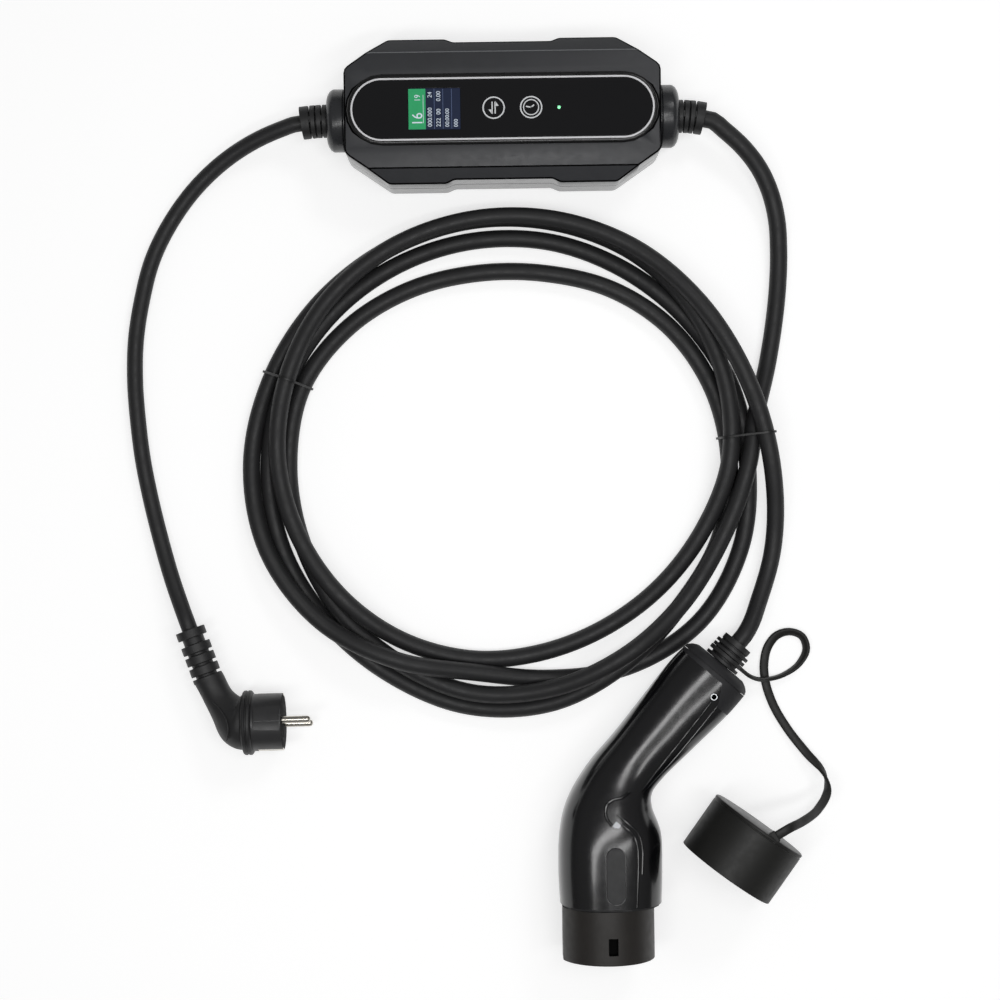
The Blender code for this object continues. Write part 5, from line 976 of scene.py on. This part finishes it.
# Grip
# Two half shells of gloss black ABS, 2.6 mm thick, meet on a seam level with the table and are held
# by four screws from below. Fine channels on top outline the panels of the handle and of the head.
# Its sections: place, heading, half width and half height
GRIP_ROWS = [
    (0.1390, -0.3810, 0.0250, -131, 0.0262, 0.0206), (0.1264, -0.3943, 0.0255, -133, 0.0265, 0.0220),
    (0.1050, -0.4170, 0.0272, -133, 0.0243, 0.0224), (0.0847, -0.4387, 0.0292, -130, 0.0224, 0.0234),
    (0.0724, -0.4535, 0.0308, -111, 0.0242, 0.0256), (0.0655, -0.4700, 0.0322, -93, 0.0293, 0.0290),
    (0.0660, -0.4886, 0.0330, -90, 0.0344, 0.0320), (0.0658, -0.5120, 0.0330, -90, 0.0352, 0.0328),
    (0.0658, -0.5350, 0.0330, -90, 0.0344, 0.0328)]
GRIP_POWER, GRIP_WALL, HALF_SEAM = 2.4, 0.0026, 0.00015
stations = smooth_rows(GRIP_ROWS, 8)
# Gloss ABS: a hard shine with the slight unevenness of a moulded skin.
gloss_abs = moulded("gloss_abs", "#0b0b0d", "#0e0e10", 0.21, 14.0, 0.010, 0.03, Coat_Weight=0.3,
                    Coat_Roughness=0.12)


def half_shell(name, side, node):
    """One half shell: a C-shaped wall lofted through the stations."""
    rings = []
    for x, y, z, heading, half_width, half_height in stations:
        outer = oval(half_width, half_height, GRIP_POWER, 56, 0.0, 180.0)
        inner = oval(half_width - GRIP_WALL, half_height - GRIP_WALL, GRIP_POWER, 56, 0.0, 180.0)
        spots = [(a, side * (b + HALF_SEAM)) for a, b in outer + inner[::-1]]
        rings.append(upright((x, y, z), heading, spots))
    bm = sleeve(rings)
    axis = REAR_FRAME.to_3x3()
    for place, normal in BAND_CUTS:
        bmesh.ops.bisect_plane(bm, geom=bm.verts[:] + bm.edges[:] + bm.faces[:],
                               plane_co=REAR_FRAME @ Vector(place), plane_no=axis @ Vector(normal))
    made = finished(name, bm, gloss_abs, [node], smooth=40.0)
    parts_of(made, [dull_abs], in_band)
    return made


# The rear 3 mm of the shells and a tongue on the strap's side are left dull
BAND_START, TONGUE_START = -0.0032, -0.0174
TONGUE_EDGE, TONGUE_NORMAL = (-0.0033, -0.0069, 0.0), (-0.503, 0.864, 0.0)
BAND_CUTS = [((BAND_START, 0.0, 0.0), (1.0, 0.0, 0.0)), ((TONGUE_START, 0.0, 0.0), (1.0, 0.0, 0.0)),
             (TONGUE_EDGE, TONGUE_NORMAL)]


def in_band(centre, normal):
    """Whether a face of the grip belongs to the dull band."""
    place = REAR_FRAME.inverted() @ centre
    beside = (place - Vector(TONGUE_EDGE)).dot(Vector(TONGUE_NORMAL)) < 0.0
    return 1 if place.x > BAND_START or (place.x > TONGUE_START and beside) else 0


upper_grip = half_shell("grip_upper_half", 1, "grip_shell_upper")
lower_grip = half_shell("grip_lower_half", -1, "grip_shell_lower")
BADGE_LENGTH, BADGE_WIDTH, BADGE_GAP = 0.0374, 0.0124, 0.0006
badge_low, badge_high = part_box("badge_plate")
badge_frame = facing((0.0680, -0.5128, 0.0), -90.0)
recess = slab(BADGE_LENGTH + 2 * BADGE_GAP, BADGE_WIDTH + 2 * BADGE_GAP, BADGE_WIDTH / 2 + BADGE_GAP,
              badge_low.z - 0.0003, 0.0720, steps=16)
# The channels' radii and places: two down the handle, then the curve and two lines on the head
CHANNELS = [
    (0.0007, [(0.1345, -0.4002), (0.1195, -0.4187), (0.1025, -0.4392), (0.0862, -0.4590)]),
    (0.0007, [(0.1388, -0.4032), (0.1245, -0.4204), (0.1074, -0.4403), (0.0898, -0.4581)]),
    (0.0011, [(0.0783, -0.4580), (0.0730, -0.4618), (0.0672, -0.4628), (0.0632, -0.4656),
              (0.0618, -0.4700), (0.0628, -0.4755), (0.0660, -0.4795)]),
    (0.0009, [(0.0720, -0.4785), (0.0801, -0.4862), (0.0826, -0.4934), (0.0830, -0.5033),
              (0.0824, -0.5200), (0.0816, -0.5340)]),
    (0.0009, [(0.0690, -0.4716), (0.0762, -0.4781), (0.0835, -0.4855), (0.0858, -0.4936),
              (0.0859, -0.5049), (0.0855, -0.5120)])]
HOLE_OUTER = 0.0024
hole_frame = Matrix.Translation((0.1365, -0.3968, 0.0450)) @ UP
cut_from(upper_grip, [placed(recess, badge_frame), rod(-0.0030, 0.0030, HOLE_OUTER, hole_frame, 32)]
         + [along_skin(line, radius, stations, GRIP_POWER) for radius, line in CHANNELS])
hole_ring = finished("hole_ring", tube(-0.0015, 0.0008, HOLE_OUTER - 0.0007, HOLE_OUTER - 0.0001,
                                       hole_frame, 32), zinc, edge=0.0001)
# A small square, painted an opaque pale grey, ends the curved line.
pale_square_finish = moulded("pale_square_finish", "#c9ccd0", "#bcbfc4", 0.20, 0.6, 0.004)
WINDOW_PLACE = (0.0690, -0.4795)
window_z = skin_height(*WINDOW_PLACE, stations, GRIP_POWER)
bm = slab(0.0042, 0.0040, 0.0003, window_z - 0.0008, window_z + 0.0006, steps=2)
window = finished("grip_window", placed(bm, facing((*WINDOW_PLACE, 0.0), -40.0)), pale_square_finish,
                  edge=0.0001)
bm = slab(BADGE_LENGTH, BADGE_WIDTH, BADGE_WIDTH / 2, badge_low.z, badge_high.z, steps=16)
# Sparked ABS of the bare badge: a dull field in the gloss grip.
sparked_abs = moulded("sparked_abs", "#111113", "#151517", 0.48, 1.2, 0.012)
badge = finished("bare_badge", placed(bm, badge_frame), sparked_abs, ["badge_plate"], edge=0.0003)


# Nose
# The end that goes into the car: a brown-black matt cylinder with one flat side and two lock slots,
# keyed into the grip. Five silver-plated sleeves stand back inside its seven wells.
HEAD_FRAME = facing((0.0658, -0.5350, 0.0330), -90.0)
NOSE_OFFSET = 0.0024
NOSE_FRAME = HEAD_FRAME @ Matrix.Translation((0.0, -NOSE_OFFSET, 0.0))
NOSE_START, NOSE_END, NOSE_RADIUS = 0.0018, 0.0375, 0.0318
# Glass-filled polyamide: matt, slightly brown.
filled_polyamide = moulded("glass_filled_polyamide", "#221f1d", "#292623", 0.46, 0.6, 0.020,
                           Specular_IOR_Level=0.4)
nose = finished("nose", rod(NOSE_START, NOSE_END, NOSE_RADIUS, NOSE_FRAME, 128), filled_polyamide,
                ["nose_insert"], edge=0.0006)
FLAT = 0.0014 - NOSE_RADIUS
TOP_SLOT, SIDE_SLOT = 0.0250, 0.0210
SLOT_REACH, SLOT_HALF_WIDTH, SLOT_DEPTH = 0.0057, 0.0032, 0.0052
cutters = [
    bar((NOSE_START - 0.0003, -0.07, -0.07), (NOSE_END + 0.03, FLAT, 0.07), NOSE_FRAME),
    bar((TOP_SLOT - SLOT_REACH, NOSE_OFFSET - SLOT_HALF_WIDTH, NOSE_RADIUS - SLOT_DEPTH),
        (TOP_SLOT + SLOT_REACH, NOSE_OFFSET + SLOT_HALF_WIDTH, 0.07), NOSE_FRAME),
    bar((SIDE_SLOT - SLOT_REACH, -0.07, -SLOT_HALF_WIDTH),
        (SIDE_SLOT + SLOT_REACH, FLAT + SLOT_DEPTH, SLOT_HALF_WIDTH), NOSE_FRAME)]
# The sleeves' wells: place across and up, and the sleeve's radius
WELLS = [(0.0, 0.0170, 0.0045), (0.0, 0.0, 0.0045), (0.0, -0.0170, 0.0045), (-0.0145, 0.0095, 0.0026),
         (-0.0145, -0.0095, 0.0026)]
WELL_WALL, SLEEVE_GAP, WELL_DEPTH, WELL_FOOT, OVERCUT = 0.0016, 0.0003, 0.0111, 0.0040, 0.0016
for across, up, radius in WELLS:
    cutters.append(turned([(NOSE_END + OVERCUT, 0.0), (NOSE_END + OVERCUT, radius + WELL_WALL),
                           (NOSE_END - WELL_DEPTH, radius + WELL_WALL),
                           (NOSE_END - WELL_DEPTH, radius + SLEEVE_GAP),
                           (WELL_FOOT, radius + SLEEVE_GAP), (WELL_FOOT, 0.0)],
                          NOSE_FRAME @ Matrix.Translation((0, across, up)), 40))
# The two wells that hold no sleeve
BARE_WELLS, BARE_WELL_RADIUS, BARE_WELL_FOOT = [(0.0150, -0.0085), (0.0150, 0.0085)], 0.0061, 0.0080
for across, up in BARE_WELLS:
    cutters.append(rod(BARE_WELL_FOOT, NOSE_END + OVERCUT, BARE_WELL_RADIUS,
                       NOSE_FRAME @ Matrix.Translation((0, across, up)), 40))
cut_from(nose, cutters)
# The lock slot's lining is rough and painted near black, a painted shade for the dark inside the slot.
painted_shade_slot_polyamide = moulded("painted_shade_slot_polyamide", "#060606", "#0a0a0a", 0.75, 0.6, 0.020,
                         Specular_IOR_Level=0.05)


def in_painted_shade_slot(centre, normal):
    """Whether a face lines the upper lock slot, which takes the painted shade."""
    place = NOSE_FRAME.inverted() @ centre
    inside = place.yz.length < NOSE_RADIUS - 0.0003 and place.z > 0.0200
    near = abs(place.x - TOP_SLOT) < SLOT_REACH + 0.0003
    return 1 if inside and near and abs(place.y - NOSE_OFFSET) < SLOT_HALF_WIDTH + 0.0003 else 0


parts_of(nose, [painted_shade_slot_polyamide], in_painted_shade_slot)
ROOT_GAP, ROOT_START = 0.0003, -0.0120
outline = oval(*(half - GRIP_WALL - ROOT_GAP for half in GRIP_ROWS[-1][4:]), GRIP_POWER, 72)
rings = [[HEAD_FRAME @ Vector((place, a, b)) for a, b in outline] for place in (ROOT_START, NOSE_START)]
nose_root = finished("nose_root", sleeve(rings), filled_polyamide, edge=0.0003)


# Rear cap of the grip
# A dull round-edged ring of black ABS closes the grip behind, and its tongue goes 4 mm into the
# shells. The relief passes through its bore.
rings = []
half_width, half_height = stations[0][4:]
for distance, taper in ((-0.0040, GRIP_WALL + 0.0004), (0.0003, GRIP_WALL + 0.0004), (0.0003, 0.0),
                        (0.0028, 0.0008), (0.0050, 0.0030), (0.0064, 0.0056), (0.0070, 0.0070)):
    spots = oval(half_width - taper, half_height - taper, GRIP_POWER, 72)
    rings.append([REAR_FRAME @ Vector((distance, a, b)) for a, b in spots])
rear_cap = finished("grip_rear_cap", sleeve(rings), dull_abs, ["rear_cap"], smooth=50.0)
cut_from(rear_cap, [rod(-0.01, 0.02, OUTPUT_DIAMETER / 2 + 0.0003, REAR_FRAME, 48)])


# Dust cap and strap
# A soft rubber cup that pushes over the nose, with a lug moulded on its side. The strap is a flat
# rubber ribbon from the ring, with one loop on the table and a half twist before the lug.
CAP_FRAME = facing((0.1673, -0.4843, 0.0353), -125.9)
CAP_RADIUS, CAP_BORE, CAP_LENGTH = 0.0350, 0.0320, 0.0402
bm = turned([(CAP_LENGTH, CAP_BORE), (CAP_LENGTH, 0.0346), (0.0398, CAP_RADIUS), (0.0032, CAP_RADIUS),
             (0.0030, 0.0346), (0.0024, 0.0346), (0.0022, CAP_RADIUS), (0.0010, CAP_RADIUS), (0.0004, 0.0347),
             (0.0, 0.0338), (0.0, 0.0), (0.0030, 0.0), (0.0030, 0.0310), (0.0040, CAP_BORE),
             (CAP_LENGTH, CAP_BORE)], CAP_FRAME, 128)
# Soft cap rubber: matt with a slight bloom.
cap_rubber = moulded("cap_rubber", "#191918", "#20201e", 0.50, 0.8, 0.020, Specular_IOR_Level=0.35)
cap = finished("cap_cup", bm, cap_rubber, ["dust_cap"], smooth=30.0, edge=0.0002)
# Cap rubber off a polished mould: the closed end shines softly where light skims it.
shiny_rubber = moulded("shiny_cap_rubber", "#1b1b1a", "#212120", 0.42, 0.8, 0.012)
ahead = CAP_FRAME.to_3x3() @ Vector((1.0, 0.0, 0.0))
parts_of(cap, [shiny_rubber], lambda centre, normal: 1 if normal.dot(ahead) < -0.8 else 0)
LUG_SIDE = 0.0076
LUG_FRAME = CAP_FRAME @ facing((-0.0025, LUG_SIDE, (CAP_RADIUS ** 2 - LUG_SIDE ** 2) ** 0.5 - 0.0024), -24.0)
lug = finished("cap_lug", bar((0.0, -0.0040, -0.0020), (0.0060, 0.0040, 0.0020), LUG_FRAME),
               cap_rubber, edge=0.0008, segments=4)
# Places of the strap with its turn about its own line, in degrees from flat
STRAP_ROUTE = [
    (0.1670, -0.3868, 0.0190, 84), (0.1744, -0.3885, 0.0110, 84), (0.1883, -0.3864, 0.0045, 80),
    (0.2003, -0.3783, 0.0038, 62), (0.2053, -0.3680, 0.0034, 48), (0.2023, -0.3596, 0.0034, 45),
    (0.1937, -0.3564, 0.0030, 38), (0.1853, -0.3587, 0.0028, 22), (0.1790, -0.3662, 0.0026, 8),
    (0.1760, -0.3780, 0.0026, 0), (0.1766, -0.3898, 0.0026, 0), (0.1812, -0.4051, 0.0026, 0),
    (0.1913, -0.4233, 0.0030, 0), (0.2041, -0.4402, 0.0050, 15), (0.2147, -0.4531, 0.0110, 62),
    (0.2157, -0.4634, 0.0210, 128), (0.2072, -0.4738, 0.0370, 180), (0.1931, -0.4797, 0.0560, 180)]
first = [(*(REAR_FRAME @ Vector((RING_NEAR + RING_WIDTH / 2, -RING_OUTER - gap, 0.0))), 84)
         for gap in (-0.0010, 0.0046)]
last = [(*place, 180) for place in ahead_of(LUG_FRAME, -0.0080, 0.0010)]
strap_line = rounded_path(first + STRAP_ROUTE + last, 0.0025)
strap_path = [spot.to_3d() for spot in strap_line]
STRAP_HALF, STRAP_THICKNESS = 0.0030, 0.0012
STRAP_SECTION = [(1, -0.5), (1, 0.5), (0.7, 1), (-0.7, 1), (-1, 0.5), (-1, -0.5), (-0.7, -1), (0.7, -1)]
rings = []
for spot, (centre, side, lift) in zip(strap_line, with_sides(strap_path)):
    turn = radians(spot.w)
    across, up = side * cos(turn) + lift * sin(turn), lift * cos(turn) - side * sin(turn)
    rings.append([centre + across * STRAP_HALF * a + up * STRAP_THICKNESS * b for a, b in STRAP_SECTION])
strap = finished("strap", sleeve(rings), cap_rubber, ["cap_strap"], smooth=60.0)
